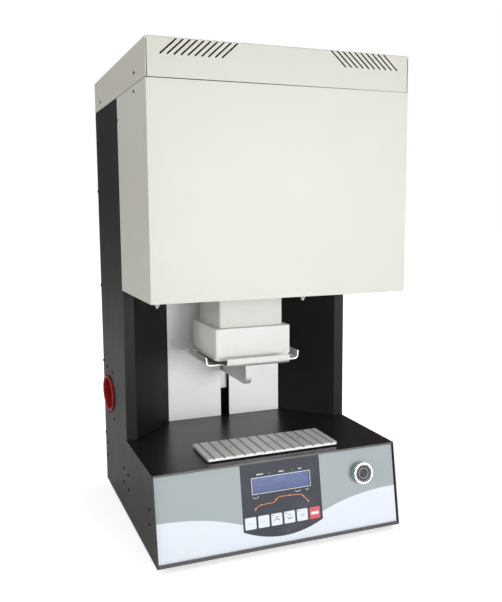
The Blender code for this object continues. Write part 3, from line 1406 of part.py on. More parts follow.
def make_rocker(x, z, outer, half_width, well):
    """Rocker of two flat faces that meet at a low angle over its pivot."""
    pivot = outer - ROCKER_DEPTH / 2
    axis = new_empty("rocker_axis", (x, pivot, z), (ROCKER_TILT, 0.0, 0.0))
    reach = (well - SEAT) * math.cos(ROCKER_TILT) - ROCKER_DEPTH * math.sin(ROCKER_TILT)
    face = ROCKER_DEPTH / 2 + ROCKER_PROUD
    rise = reach * math.tan(ROCKER_TILT)
    outline = [(-ROCKER_DEPTH / 2, -reach / 2), (face + rise, -reach), (face, 0.0), (face + rise, reach),
               (-ROCKER_DEPTH / 2, reach / 2)]
    return flat_piece("switch_rocker", [outline], 2 * half_width, plane_yz(0.0), BLACK_PLASTIC, axis)


def build_cabinet():
    make_side_panel("side_panel_left", -1)
    make_side_panel("side_panel_right", 1)
    make_base_pan()
    make_base_top()
    make_column_wall("column_wall_left", -1)
    make_column_wall("column_wall_right", 1)
    make_back_panel()
    make_rear_panel()
    make_head_shell()
    make_top_cover()
    make_head_floor()
    make_feet()
    make_grip("grip_left", -1)
    make_grip("grip_right", 1)
    make_cooling_plate()


def build_chamber():
    make_chamber()
    make_elements()
    make_thermocouple()
    make_stud("chamber_stud_left", -1)
    make_stud("chamber_stud_right", 1)


def build_controls():
    frame = make_panel_frame()
    make_front_panel(frame)
    make_display(frame)
    make_control_board(frame)
    make_keys(frame)
    make_knob(frame)
    make_encoder(frame)


def build_lift():
    make_lower_block()
    make_upper_block()
    make_tray()
    make_arm()
    make_carriage()
    make_nut()
    make_bracket("lift_bracket_lower", BRACKET_LOW, COUPLING_RADIUS + RUNNING)
    make_bracket("lift_bracket_upper", BRACKET_HIGH, SCREW_RADIUS + RUNNING)
    make_rod("guide_rod_left", -1)
    make_rod("guide_rod_right", 1)
    make_lead_screw()
    make_motor()
    make_backplate()


def build_power():
    make_transformer()
    make_power_controller()
    make_fan()
    make_inlet()
    make_mains_switch()


build_cabinet()
build_chamber()
build_controls()
build_lift()
build_power()
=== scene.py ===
import math

import bmesh
import bpy
from mathutils import Matrix, Vector


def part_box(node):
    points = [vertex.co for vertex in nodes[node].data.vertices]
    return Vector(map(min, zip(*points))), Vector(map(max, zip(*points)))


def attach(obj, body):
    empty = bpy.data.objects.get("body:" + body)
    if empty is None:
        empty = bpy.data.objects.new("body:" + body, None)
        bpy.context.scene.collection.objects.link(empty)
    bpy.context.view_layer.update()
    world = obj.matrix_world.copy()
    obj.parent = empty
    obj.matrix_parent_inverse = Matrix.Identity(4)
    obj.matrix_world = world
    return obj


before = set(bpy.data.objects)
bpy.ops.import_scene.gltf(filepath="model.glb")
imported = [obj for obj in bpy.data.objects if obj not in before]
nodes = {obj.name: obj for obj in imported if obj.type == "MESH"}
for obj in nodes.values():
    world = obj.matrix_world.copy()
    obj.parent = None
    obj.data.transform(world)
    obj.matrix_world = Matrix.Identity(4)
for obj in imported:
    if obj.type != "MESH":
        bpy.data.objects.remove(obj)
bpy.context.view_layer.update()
print("frame loaded:", len(nodes), "nodes")

# The photograph's sizes count from the cabinet's front edge and its underside.
cabinetFront = -0.1935
footHeight = 0.008
lean = math.atan2(0.022, 0.1304)
panelFrame = Matrix((
    (1, 0, 0, 0),
    (0, math.sin(lean), -math.cos(lean), cabinetFront),
    (0, math.cos(lean), math.sin(lean), footHeight),
    (0, 0, 0, 1),
))
filmFace = -0.003


def back(setback):
    return cabinetFront + setback


def up(height):
    return footHeight + height


# How far up the slanted panel a point lies.
def alongPanel(y, z):
    return (y - cabinetFront) * math.sin(lean) + (z - footHeight) * math.cos(lean)


# Shader maths with plain operators. A wire is one output socket of a material's tree.
class Wire:
    def __init__(self, tree, socket):
        self.tree = tree
        self.socket = socket

    def maths(self, operation, *values):
        node = self.tree.nodes.new("ShaderNodeMath")
        node.operation = operation
        for slot, value in zip(node.inputs, values):
            connect(self.tree, slot, value)
        return Wire(self.tree, node.outputs[0])

    def __add__(self, other):
        return self.maths("ADD", self, other)

    def __radd__(self, other):
        return self.maths("ADD", other, self)

    def __sub__(self, other):
        return self.maths("SUBTRACT", self, other)

    def __rsub__(self, other):
        return self.maths("SUBTRACT", other, self)

    def __mul__(self, other):
        return self.maths("MULTIPLY", self, other)

    def __rmul__(self, other):
        return self.maths("MULTIPLY", other, self)

    def __truediv__(self, other):
        return self.maths("DIVIDE", self, other)

    def __pow__(self, other):
        return self.maths("POWER", self, other)

    def __abs__(self):
        return self.maths("ABSOLUTE", self)

    def __gt__(self, other):
        return self.maths("GREATER_THAN", self, other)

    def __lt__(self, other):
        return self.maths("LESS_THAN", self, other)

    def __and__(self, other):
        return self.maths("MULTIPLY", self, other)

    def __or__(self, other):
        return self.maths("MAXIMUM", self, other)

    def __invert__(self):
        return self.maths("SUBTRACT", 1, self)

    def sine(self):
        return self.maths("SINE", self)

    def fraction(self):
        return self.maths("FRACT", self)

    def root(self):
        return self.maths("SQRT", self)

    def angle(self, other):
        return self.maths("ARCTAN2", self, other)

    def rise(self, low, high):
        node = self.tree.nodes.new("ShaderNodeMapRange")
        node.interpolation_type = "SMOOTHSTEP"
        connect(self.tree, node.inputs["Value"], self)
        node.inputs["From Min"].default_value = low
        node.inputs["From Max"].default_value = high
        return Wire(self.tree, node.outputs["Result"])


def connect(tree, slot, value):
    if isinstance(value, Wire):
        tree.links.new(value.socket, slot)
    elif isinstance(value, tuple) and slot.type == "RGBA":
        slot.default_value = (*value, 1)
    else:
        slot.default_value = value


# One finish: a principled shader, and what varies over its surface.
class Finish:
    def __init__(self, name, color, roughness, **settings):
        self.material = bpy.data.materials.new(name)
        self.material.use_nodes = True
        self.tree = self.material.node_tree
        self.shader = self.tree.nodes["Principled BSDF"]
        self.set("Base Color", color)
        self.set("Roughness", roughness)
        for label, value in settings.items():
            self.set(label.replace("_", " ").title().replace("Ior", "IOR"), value)
        self.color = color
        self.place = self.node("TexCoord", "Object")

    def node(self, kind, output=0, inputs=None, **settings):
        node = self.tree.nodes.new("ShaderNode" + kind)
        for label, value in settings.items():
            setattr(node, label, value)
        for label, value in (inputs or {}).items():
            connect(self.tree, node.inputs[label], value)
        return Wire(self.tree, node.outputs[output])

    def set(self, label, value):
        connect(self.tree, self.shader.inputs[label], value)

    def axes(self):
        node = self.tree.nodes.new("ShaderNodeSeparateXYZ")
        connect(self.tree, node.inputs[0], self.place)
        return [Wire(self.tree, output) for output in node.outputs]

    def stretched(self, stretch):
        return self.node("Mapping", inputs={"Vector": self.place, "Scale": stretch})

    def noise(self, scale, detail, stretch=(1, 1, 1)):
        return self.node(
            "TexNoise", "Fac", {"Vector": self.stretched(stretch), "Scale": scale, "Detail": detail}
        )

    def cells(self, scale, feature="F1", stretch=(1, 1, 1)):
        return self.node(
            "TexVoronoi", "Distance", {"Vector": self.stretched(stretch), "Scale": scale}, feature=feature
        )

    # The mix node has one set of sockets per data type: for colours they are 0, 6 and 7, and 2 is the result.
    def mixed(self, share, first, second):
        node = self.tree.nodes.new("ShaderNodeMix")
        node.data_type = "RGBA"
        connect(self.tree, node.inputs[0], share)
        connect(self.tree, node.inputs[6], first)
        connect(self.tree, node.inputs[7], second)
        return Wire(self.tree, node.outputs[2])

    def tinted(self, share, second):
        self.color = self.mixed(share, self.color, second)
        self.set("Base Color", self.color)

    def rough(self, wire):
        self.set("Roughness", wire)

    def bumped(self, height, depth, strength):
        bump = self.node("Bump", "Normal", {"Height": height, "Distance": depth, "Strength": strength})
        self.set("Normal", bump)


def powderCoat(name, color, roughness, shade, peel=0.00006, level=0.5):
    coat = Finish(name, color, roughness, specular_ior_level=level)
    blotches = coat.noise(7, 3)
    peelNoise = coat.noise(850, 2)
    specks = coat.noise(2600, 1)
    coat.tinted(blotches.rise(0.35, 0.75) * 0.6, shade)
    coat.rough(roughness - 0.05 + 0.10 * coat.noise(22, 4))
    coat.bumped(peelNoise + 0.3 * specks, peel, 0.5)
    return coat


def brushedMetal(name, color, roughness, stretch, shade, metallic=1.0):
    metal = Finish(name, color, roughness, metallic=metallic)
    lines = metal.noise(900, 3, stretch)
    patches = metal.noise(14, 4)
    metal.tinted(0.55 * lines.rise(0.3, 0.75) + 0.35 * patches.rise(0.45, 0.8), shade)
    metal.rough(roughness - 0.10 + 0.16 * lines + 0.10 * patches)
    metal.bumped(lines, 0.00003, 0.6)
    return metal


def mouldedPlastic(name, color, roughness, shade):
    plastic = Finish(name, color, roughness)
    plastic.tinted(plastic.noise(30, 3).rise(0.4, 0.8), shade)
    plastic.rough(roughness - 0.06 + 0.12 * plastic.noise(60, 2))
    plastic.bumped(plastic.noise(1800, 2), 0.00004, 0.5)
    return plastic


def makePaints():
    paints = {
        "cream": powderCoat("creamPaint", (0.635, 0.632, 0.585), 0.42, (0.620, 0.612, 0.56)),
        "creamCover": powderCoat("creamCoverPaint", (0.615, 0.608, 0.550), 0.40, (0.60, 0.588, 0.525)),
        "black": powderCoat(
            "blackPaint", (0.0115, 0.0115, 0.0110), 0.42, (0.0145, 0.0145, 0.0135), level=0.38
        ),
        # Painted shade: the recess walls take the same black paint, made darker as shade.
        "shadedBlack": powderCoat(
            "recessShadedPaint", (0.0060, 0.0060, 0.0060), 0.46, (0.0075, 0.0075, 0.0073), level=0.22
        ),
        "blackTop": powderCoat("baseTopPaint", (0.011, 0.0095, 0.009), 0.31, (0.013, 0.011, 0.010), 0.000003),
        "blackPan": powderCoat("panPaint", (0.050, 0.048, 0.051), 0.36, (0.060, 0.056, 0.058)),
        "white": powderCoat("whitePaint", (0.93, 0.93, 0.93), 0.42, (0.92, 0.92, 0.92)),
    }
    shadeJoint(paints["creamCover"], paints["cream"])
    return paints


# The cover's inside is painted dark as shade, and the joint between cover and head gets a painted shadow,
# less so to the right.
def shadeJoint(cover, head):
    low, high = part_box("top_cover")
    joint = {
        "wall": 0.0008,
        "edge": 0.0005,
        "front": 0.0004,
        "left": -0.10,
        "right": 0.20,
        "fade": 0.75,
        "inner": (0.020, 0.019, 0.017),
        "shadow": (0.03, 0.028, 0.024),
    }
    x, y, z = cover.axes()
    inside = (high.x - abs(x) > joint["wall"]) & (z < high.z - joint["wall"])
    inside = inside & (y > low.y + joint["wall"]) & (y < high.y - joint["wall"])
    shade = 1 - joint["fade"] * x.rise(joint["left"], joint["right"])
    # Painted shade inside the cover, and a painted shadow along the joint on cover and head.
    cover.tinted(inside, joint["inner"])
    cover.tinted((z < low.z + joint["edge"]) & shade, joint["shadow"])
    x, y, z = head.axes()
    shade = 1 - joint["fade"] * x.rise(joint["left"], joint["right"])
    head.tinted((z > low.z - joint["wall"]) & (y < low.y + joint["front"]) & shade, joint["shadow"])


def makeFibre(name, color, shade):
    fibre = Finish(name, color, 0.95, specular_ior_level=0.2)
    fluff = fibre.noise(420, 6)
    strands = fibre.noise(260, 4, (1, 1, 5))
    pits = fibre.cells(170)
    pitMask = (pits < 0.16) * (fibre.noise(60, 2) > 0.52)
    stains = fibre.noise(18, 4)
    fibre.tinted(stains.rise(0.45, 0.8) * 0.8, shade)
    # The pits are painted darker as shade.
    fibre.tinted(pitMask * 0.35, tuple(0.62 * part for part in color))
    fibre.bumped(fluff * 0.6 + strands * 0.4 - pitMask * 0.8, 0.00045, 0.55)
    return fibre


# The ribs' tops are bright, the grooves and their edges get painted shade, and the front edge gets a painted
# highlight.
def makeCoolingAluminium():
    low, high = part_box("cooling_plate")
    groove = {
        "pitch": 0.01646,
        "shift": 0.0008,
        "top": 0.0002,
        "bottom": 0.0014,
        "floor": 0.003,
        "shadeStart": 0.0010,
        "shadeEnd": 0.0042,
        "shade": 0.30,
        "dark": 0.62,
        "edge": 0.0006,
        "side": (0.30, 0.30, 0.295),
        "grooveShade": (0.20, 0.20, 0.195),
        "front": (0.97, 0.97, 0.97),
    }
    metal = Finish("coolingAluminium", (0.80, 0.80, 0.79), 0.46, metallic=0.35)
    x, y, z = metal.axes()
    drawn = metal.noise(1400, 3, (1, 0.03, 1))
    patches = metal.noise(20, 4)
    scratches = metal.noise(500, 2, (0.25, 1, 1))
    depth = (high.z - z).rise(groove["top"], groove["bottom"]) & (z > low.z + groove["floor"])
    away = abs(((x + groove["shift"]) / groove["pitch"] + 0.5).fraction() - 0.5) * groove["pitch"]
    shade = groove["shade"] - groove["shade"] * away.rise(groove["shadeStart"], groove["shadeEnd"])
    metal.tinted(0.5 * drawn.rise(0.3, 0.7) + 0.35 * patches.rise(0.4, 0.8), (0.72, 0.72, 0.71))
    # Painted shade beside each groove and deep in it, and a painted highlight along the front edge.
    metal.tinted(shade, groove["side"])
    metal.tinted(depth * groove["dark"] & (y > low.y + 2 * groove["edge"]), groove["grooveShade"])
    metal.tinted(y < low.y + groove["edge"], groove["front"])
    metal.rough(0.38 + 0.12 * drawn + 0.10 * patches + 0.04 * scratches)
    metal.bumped(drawn + 0.5 * scratches, 0.00003, 0.6)
    return metal


# Turning the angle into the height makes the bump run round the axis as a thread.
def makeThread(name, color, pitch, axis, roughness):
    thread = Finish(name, color, roughness, metallic=1.0)
    x, y, z = thread.axes()
    turn = (y - axis[1]).angle(x - axis[0]) / (2 * math.pi)
    wave = abs((z / pitch - turn).fraction() - 0.5) * 2
    # Painted shade darkens the thread's valleys.
    thread.tinted(wave.rise(0.2, 0.9) * 0.7, tuple(0.35 * part for part in color))
    thread.rough(roughness + 0.12 * thread.noise(200, 3))
    thread.bumped(1 - wave, pitch * 0.45, 0.9)
    return thread


def makeChrome():
    chrome = Finish("knobChrome", (0.72, 0.73, 0.74), 0.20, metallic=1.0)
    chrome.tinted(chrome.noise(120, 3).rise(0.4, 0.8) * 0.6, (0.60, 0.61, 0.62))
    chrome.rough(0.14 + 0.12 * chrome.noise(260, 3))
    chrome.bumped(chrome.noise(1500, 2), 0.00001, 0.4)
    return chrome


def makeGroundSteel():
    rods = Finish("groundSteel", (0.66, 0.67, 0.68), 0.16, metallic=1.0)
    rods.tinted(rods.noise(40, 4).rise(0.4, 0.8) * 0.5, (0.50, 0.51, 0.52))
    rods.rough(0.12 + 0.10 * rods.noise(600, 2, (1, 1, 0.2)))
    rods.bumped(rods.noise(1200, 2, (1, 1, 0.1)), 0.00001, 0.4)
    return rods


def makeHeater():
    heater = Finish("oxidisedElement", (0.11, 0.10, 0.10), 0.42, coat_weight=0.25, coat_roughness=0.2)
    heater.tinted(heater.noise(90, 4).rise(0.35, 0.75), (0.20, 0.19, 0.20))
    heater.rough(0.32 + 0.2 * heater.noise(180, 3))
    heater.bumped(heater.noise(700, 4), 0.00012, 0.6)
    return heater


def makeRubber():
    rubber = Finish("footRubber", (0.022, 0.022, 0.023), 0.82)
    rubber.tinted(rubber.noise(80, 4).rise(0.45, 0.8), (0.045, 0.044, 0.043))
    rubber.rough(0.74 + 0.16 * rubber.noise(140, 3))
    rubber.bumped(rubber.noise(1100, 3), 0.00008, 0.6)
    return rubber


# The bowl is deep red, with a painted highlight on its rim.
def makeGripRed():
    grip = Finish("gripRed", (0.27, 0.0010, 0.0020), 0.40, specular_ior_level=0.30)
    highlightBand = {"start": 0.2022, "end": 0.2040}
    rim = abs(grip.axes()[0]).rise(highlightBand["start"], highlightBand["end"])
    grip.tinted(grip.noise(45, 3).rise(0.4, 0.8), (0.21, 0.0008, 0.0015))
    # A painted highlight along the rim.
    grip.tinted(rim * 0.35, (0.42, 0.030, 0.032))
    grip.rough(0.36 + 0.14 * grip.noise(300, 2))
    grip.bumped(grip.noise(1500, 2), 0.00004, 0.5)
    return grip


# Printed film: grey-blue above two long curves, bluish white below, and a slate field about the keys.
def makeFilm():
    ink = {
        "white": (0.76, 0.81, 0.885),
        "grey": (0.375, 0.430, 0.445),
        "slate": (0.042, 0.047, 0.062),
        "margin": (0.014, 0.014, 0.015),
        "fieldHalf": 0.0660,
        "fieldFoot": 0.0146,
        "fieldBend": 0.0150,
        "curveTop": 0.0628,
        "curveDrop": 0.0211,
        "curveReach": 0.130,
        "curveEnd": 0.199,
        "curveFoot": 0.030,
        "curvePower": 2.2,
        "edge": 0.1972,
    }
    film = Finish("panelFilm", ink["white"], 0.46, specular_ior_level=0.22)
    x, y, z = film.axes()
    slope = alongPanel(y, z)
    across = abs(x)
    reach = ((ink["curveEnd"] - across) | 0) / ink["curveReach"]
    upper = slope > ink["curveTop"] - ink["curveDrop"] * reach ** ink["curvePower"]
    upper = upper & (slope > ink["curveFoot"])
    bend = (across / ink["fieldHalf"]) ** 2 * ink["fieldBend"]
    field = (across < ink["fieldHalf"]) & (slope > bend + ink["fieldFoot"])
    film.tinted(upper, ink["grey"])
    film.tinted(field, ink["slate"])
    film.tinted(across > ink["edge"], ink["margin"])
    film.tinted(film.noise(16, 3).rise(0.5, 0.9) * 0.08, (0.55, 0.56, 0.56))
    film.rough(0.36 + 0.08 * film.noise(90, 3) + field * 0.04)
    film.bumped(film.noise(2200, 2), 0.00003, 0.5)
    return film


# The module's glass is blue, with two rows of twenty faint character cells.
def makeDisplay():
    screen = {
        "halfWidth": 0.0455,
        "halfHeight": 0.0095,
        "glassHalfWidth": 0.0490,
        "glassHalfHeight": 0.0126,
        "middle": 0.0951,
        "columns": 20,
        "rows": 2,
        "cellHalfWidth": 0.40,
        "cellHalfHeight": 0.42,
        "glass": (0.085, 0.130, 0.33),
        "cell": (0.078, 0.120, 0.31),
        "glow": (0.06, 0.09, 0.21),
        "paintedGlowStrength": 0.5,
    }
    lcd = Finish("displayScreen", (0.020, 0.020, 0.022), 0.35)
    x, y, z = lcd.axes()
    slope = alongPanel(y, z) - screen["middle"]
    blue = (abs(x) < screen["glassHalfWidth"]) & (abs(slope) < screen["glassHalfHeight"])
    column = (x * (screen["columns"] / 2 / screen["halfWidth"])).fraction()
    row = (slope * (screen["rows"] / 2 / screen["halfHeight"])).fraction()
    inCell = (abs(column - 0.5) < screen["cellHalfWidth"]) & (abs(row - 0.5) < screen["cellHalfHeight"])
    inside = (abs(x) < screen["halfWidth"]) & (abs(slope) < screen["halfHeight"])
    lcd.tinted(blue, screen["glass"])
    lcd.tinted(inCell & inside & blue, screen["cell"])
    # The blue glass glows faintly: painted light, making up for the light the window holds back.
    lcd.set("Emission Color", lcd.mixed(blue, (0, 0, 0), screen["glow"]))
    lcd.set("Emission Strength", screen["paintedGlowStrength"])
    lcd.rough(0.22 + 0.1 * lcd.noise(40, 2))
    lcd.bumped(lcd.noise(1800, 1), 0.00001, 0.3)
    return lcd


def makeWindow():
    window = Finish("displayWindow", (0.10, 0.14, 0.30), 0.10, alpha=0.22)
    window.rough(0.07 + 0.08 * window.noise(50, 3))
    window.bumped(window.noise(900, 2), 0.00001, 0.2)
    window.tinted(window.noise(30, 2).rise(0.4, 0.8) * 0.4, (0.12, 0.16, 0.32))
    return window


def makeKeyFinish(name, color, shade):
    key = Finish(name, color, 0.36, coat_weight=0.2, coat_roughness=0.25)
    key.tinted(key.noise(120, 3).rise(0.45, 0.8) * 0.6, shade)
    key.rough(0.30 + 0.10 * key.noise(150, 2))
    key.bumped(key.noise(2400, 2), 0.00003, 0.5)
    return key


def makeKnobFace():
    low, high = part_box("knob_face")
    middle = (low + high) / 2
    face = Finish("knobFaceBlack", (0.018, 0.018, 0.020), 0.40)
    x, _, z = face.axes()
    slope = (z - middle.z) / math.cos(lean)
    radius = ((x - middle.x) ** 2 + slope ** 2).root()
    turningPitch = 0.00055
    grooves = (radius * (2 * math.pi / turningPitch)).sine()
    face.tinted(face.noise(300, 3).rise(0.5, 0.8) * 0.5, (0.035, 0.035, 0.038))
    face.rough(0.34 + 0.08 * face.noise(200, 2))
    face.bumped(grooves, 0.00003, 0.7)
    return face


def makeBoard():
    board = Finish("circuitBoard", (0.020, 0.120, 0.050), 0.38, coat_weight=0.4, coat_roughness=0.2)
    tracks = board.cells(240, "DISTANCE_TO_EDGE", (1, 1, 0.35)).rise(0.02, 0.05)
    pads = board.cells(380) < 0.18
    board.tinted(~tracks * 0.7, (0.05, 0.24, 0.10))
    board.tinted(pads & (board.noise(70, 2) > 0.55), (0.62, 0.60, 0.56))
    board.bumped(tracks, 0.00005, 0.6)
    return board


def makeTransformer():
    low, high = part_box("transformer")
    winding = {"wire": 0.0014, "plate": 0.0010, "ends": 0.3, "waist": 0.22}
    coil = Finish("transformerCopper", (0.52, 0.24, 0.11), 0.38, metallic=1.0)
    x, y, z = coil.axes()
    middle = (low + high) / 2
    ends = abs(y - middle.y) > winding["ends"] * (high.y - low.y)
    wound = ends | (abs(z - middle.z) < winding["waist"] * (high.z - low.z))
    wires = (z * (2 * math.pi / winding["wire"])).sine()
    plates = (x * (2 * math.pi / winding["plate"])).sine()
    coil.tinted(~wound, (0.16, 0.16, 0.17))
    coil.tinted(wires.rise(0.2, 1.0) * 0.5, (0.24, 0.10, 0.05))
    coil.rough(0.34 + 0.14 * coil.noise(200, 3))
    coil.bumped(wires * wound + plates * ~wound, 0.00018, 0.7)
    return coil


# The three pins inside the socket are bright, the rest is black plastic.
def makeInlet():
    inlet = mouldedPlastic("inletPlastic", (0.022, 0.022, 0.024), 0.44, (0.030, 0.030, 0.031))
    low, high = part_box("power_inlet")
    middle = (low + high) / 2
    pins = {"spread": 0.0070, "drop": 0.0020, "width": 0.00105, "tall": 0.00205, "floor": 0.01585}
    x, y, z = inlet.axes()
    side = abs(x - middle.x)
    outerPin = abs(side - pins["spread"]) < pins["width"]
    outerPin = outerPin & (abs(z - middle.z + pins["drop"]) < pins["tall"])
    middlePin = (side < pins["width"]) & (abs(z - middle.z - pins["drop"]) < pins["tall"])
    pin = (outerPin | middlePin) & (y > high.y - pins["floor"])
    inlet.tinted(pin, (0.70, 0.66, 0.55))
    inlet.set("Metallic", pin)
    return inlet


def makeBronze():
    bronze = Finish("turnedBronze", (0.55, 0.36, 0.16), 0.30, metallic=1.0)
    bronze.tinted(bronze.noise(150, 4).rise(0.4, 0.8), (0.42, 0.26, 0.12))
    bronze.rough(0.24 + 0.16 * bronze.noise(700, 2, (1, 1, 6)))
    bronze.bumped(bronze.noise(900, 2, (0.2, 0.2, 4)), 0.00002, 0.6)
    return bronze


def makeInk(name, color):
    ink = Finish(name, color, 0.48)
    ink.tinted(ink.noise(900, 2).rise(0.45, 0.8) * 0.4, tuple(0.86 * part for part in color))
    ink.rough(0.42 + 0.12 * ink.noise(500, 2))
    ink.bumped(ink.noise(2500, 1), 0.00001, 0.4)
    return ink


def makeScrewSteel(name, color, roughness, metallic=1.0):
    steel = Finish(name, color, roughness, metallic=metallic)
    steel.tinted(steel.noise(700, 3).rise(0.4, 0.8), tuple(0.7 * part for part in color))
    steel.rough(roughness - 0.06 + 0.16 * steel.noise(900, 2))
    steel.bumped(steel.noise(2000, 2), 0.00002, 0.6)
    return steel


def makeFinishes():
    finishes = makePaints()
    liftAxis = (0, back(0.320))
    finishes.update({
        "blocks": makeFibre("blockFibre", (0.82, 0.82, 0.81), (0.795, 0.785, 0.755)),
        # The upper block is the same fibre, painted darker as shade from the head above it.
        "upperBlock": makeFibre("shadedFibre", (0.70, 0.695, 0.67), (0.67, 0.655, 0.62)),
        "chamberFibre": makeFibre("chamberFibre", (0.86, 0.84, 0.80), (0.78, 0.74, 0.66)),
        "cooling": makeCoolingAluminium(),
        "aluminium": brushedMetal(
            "brushedAluminium", (0.62, 0.62, 0.61), 0.40, (1, 1, 0.04), (0.50, 0.50, 0.49)
        ),
        "heatSink": brushedMetal(
            "extrudedAluminium", (0.56, 0.57, 0.58), 0.44, (1, 0.04, 1), (0.44, 0.45, 0.46)
        ),
        "tray": brushedMetal(
            "traySteel", (0.74, 0.735, 0.72), 0.34, (0.05, 1, 1), (0.64, 0.62, 0.59), metallic=0.72
        ),
        "arm": brushedMetal(
            "armAluminium", (0.60, 0.60, 0.59), 0.46, (1, 0.04, 1), (0.52, 0.52, 0.51), metallic=0.45
        ),
        "sheet": brushedMetal("galvanisedSheet", (0.55, 0.56, 0.57), 0.42, (1, 1, 0.1), (0.42, 0.43, 0.45)),
        "rods": makeGroundSteel(),
        "chrome": makeChrome(),
        "leadScrew": makeThread("rolledThread", (0.50, 0.50, 0.50), 0.0025, liftAxis, 0.28),
        "stud": makeScrewSteel("studZinc", (0.86, 0.86, 0.85), 0.34, metallic=0.5),
        "heater": makeHeater(),
        "rubber": makeRubber(),
        "grip": makeGripRed(),
        "film": makeFilm(),
        "display": makeDisplay(),
        "window": makeWindow(),
        "keyWhite": makeKeyFinish("keyWhite", (0.73, 0.78, 0.86), (0.70, 0.75, 0.83)),
        "keyRed": makeKeyFinish("keyRed", (0.66, 0.036, 0.070), (0.58, 0.028, 0.058)),
        "knobFace": makeKnobFace(),
        "plastic": mouldedPlastic("blackPlastic", (0.022, 0.022, 0.024), 0.44, (0.030, 0.030, 0.031)),
        "rocker": mouldedPlastic("rockerPlastic", (0.016, 0.016, 0.017), 0.26, (0.022, 0.022, 0.022)),
        "board": makeBoard(),
        "coil": makeTransformer(),
        "bronze": makeBronze(),
        "inlet": makeInlet(),
        "inkWhite": makeInk("inkWhite", (0.80, 0.83, 0.86)),
        "inkGrey": makeInk("inkGrey", (0.30, 0.33, 0.38)),
        "inkOrange": makeInk("inkOrange", (0.78, 0.235, 0.085)),
        "inkPale": makeInk("inkPale", (0.66, 0.36, 0.28)),
        "inkFaint": makeInk("inkFaint", (0.62, 0.66, 0.70)),
        "inkBlack": makeInk("inkBlack", (0.030, 0.032, 0.036)),
        "blackScrew": makeScrewSteel("blackenedScrew", (0.028, 0.028, 0.030), 0.42),
        "zincScrew": makeScrewSteel("zincScrew", (0.66, 0.66, 0.64), 0.30),
        "headScrew": makeScrewSteel("headScrew", (0.12, 0.115, 0.105), 0.42),
    })
    return finishes


finishes = makeFinishes()
nodeFinishes = {
    "cream": ["head_shell", "head_floor"],
    "creamCover": ["top_cover"],
    "black": ["side_panel_left", "side_panel_right", "rear_panel", "lift_motor"],
    "shadedBlack": ["column_wall_left", "column_wall_right"],
    "blackTop": ["base_top"],
    "blackPan": ["base_pan"],
    "white": ["back_panel"],
    "sheet": ["front_panel", "lift_backplate"],
    "film": ["panel_film"],
    "window": ["display_window"],
    "display": ["display_module"],
    "board": ["control_board"],
    "keyWhite": ["key_1", "key_2", "key_3", "key_4", "key_5"],
    "keyRed": ["key_stop"],
    "chrome": ["knob"],
    "knobFace": ["knob_face"],
    "cooling": ["cooling_plate"],
    "tray": ["lift_tray"],
    "aluminium": ["lift_bracket_lower", "lift_bracket_upper"],
    "arm": ["lift_arm", "lift_carriage"],
    "heatSink": ["power_controller"],
    "rods": ["guide_rod_left", "guide_rod_right"],
    "leadScrew": ["lead_screw"],
    "bronze": ["lift_nut"],
    "blocks": ["lower_block"],
    "upperBlock": ["upper_block"],
    "chamberFibre": ["throat_ring", "hot_zone_walls", "chamber_roof", "thermocouple"],
    "heater": ["heating_element_left", "heating_element_right"],
    "stud": ["chamber_stud_left", "chamber_stud_right"],
    "grip": ["grip_left", "grip_right"],
    "rubber": ["foot_1", "foot_2", "foot_3", "foot_4"],
    "coil": ["transformer"],
    "plastic": ["knob_encoder", "fan_frame", "switch_frame", "fan_rotor"],
    "inlet": ["power_inlet"],
    "rocker": ["switch_rocker"],
}
for finishName, members in nodeFinishes.items():
    for member in members:
        nodes[member].data.materials.clear()
        nodes[member].data.materials.append(finishes[finishName].material)
print("finishes made:", len(finishes))


# The mesh helpers below return a bmesh, and addPiece turns one into an object that rides on a body.
def addPiece(shape, name, finish, body, matrix=None):
    sharp = math.radians(32)
    if matrix is not None:
        bmesh.ops.transform(shape, matrix=matrix, verts=shape.verts)
    for face in shape.faces:
        face.smooth = True
    for edge in shape.edges:
        edge.smooth = edge.is_manifold and edge.calc_face_angle() < sharp
    mesh = bpy.data.meshes.new(name)
    shape.to_mesh(mesh)
    shape.free()
    mesh.materials.append(finishes[finish].material)
    piece = bpy.data.objects.new(name, mesh)
    bpy.context.scene.collection.objects.link(piece)
    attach(piece, body)


def turned(profile, steps=24):
    shape = bmesh.new()
    verts = [shape.verts.new((radius, 0, height)) for radius, height in profile]
    edges = [shape.edges.new(pair) for pair in zip(verts, verts[1:])]
    bmesh.ops.spin(
        shape, geom=verts + edges, cent=(0, 0, 0), axis=(0, 0, 1), angle=2 * math.pi, steps=steps,
        use_merge=True
    )
    bmesh.ops.remove_doubles(shape, verts=shape.verts, dist=0.000001)
    bmesh.ops.recalc_face_normals(shape, faces=shape.faces)
    return shape


def flatPlate(outline, thickness):
    shape = bmesh.new()
    face = shape.faces.new([shape.verts.new((x, y, 0)) for x, y in outline])
    raised = bmesh.ops.extrude_face_region(shape, geom=[face])["geom"]
    verts = [part for part in raised if isinstance(part, bmesh.types.BMVert)]
    bmesh.ops.translate(shape, vec=(0, 0, thickness), verts=verts)
    bmesh.ops.recalc_face_normals(shape, faces=shape.faces)
    return shape


def roundedOutline(width, height, radius, steps):
    points = []
    for number, (sideX, sideY) in enumerate([(1, -1), (1, 1), (-1, 1), (-1, -1)]):
        for step in range(steps + 1):
            angle = math.radians(90) * (number - 1 + step / steps)
            points.append((
                sideX * (width / 2 - radius) + radius * math.cos(angle),
                sideY * (height / 2 - radius) + radius * math.sin(angle),
            ))
    return points


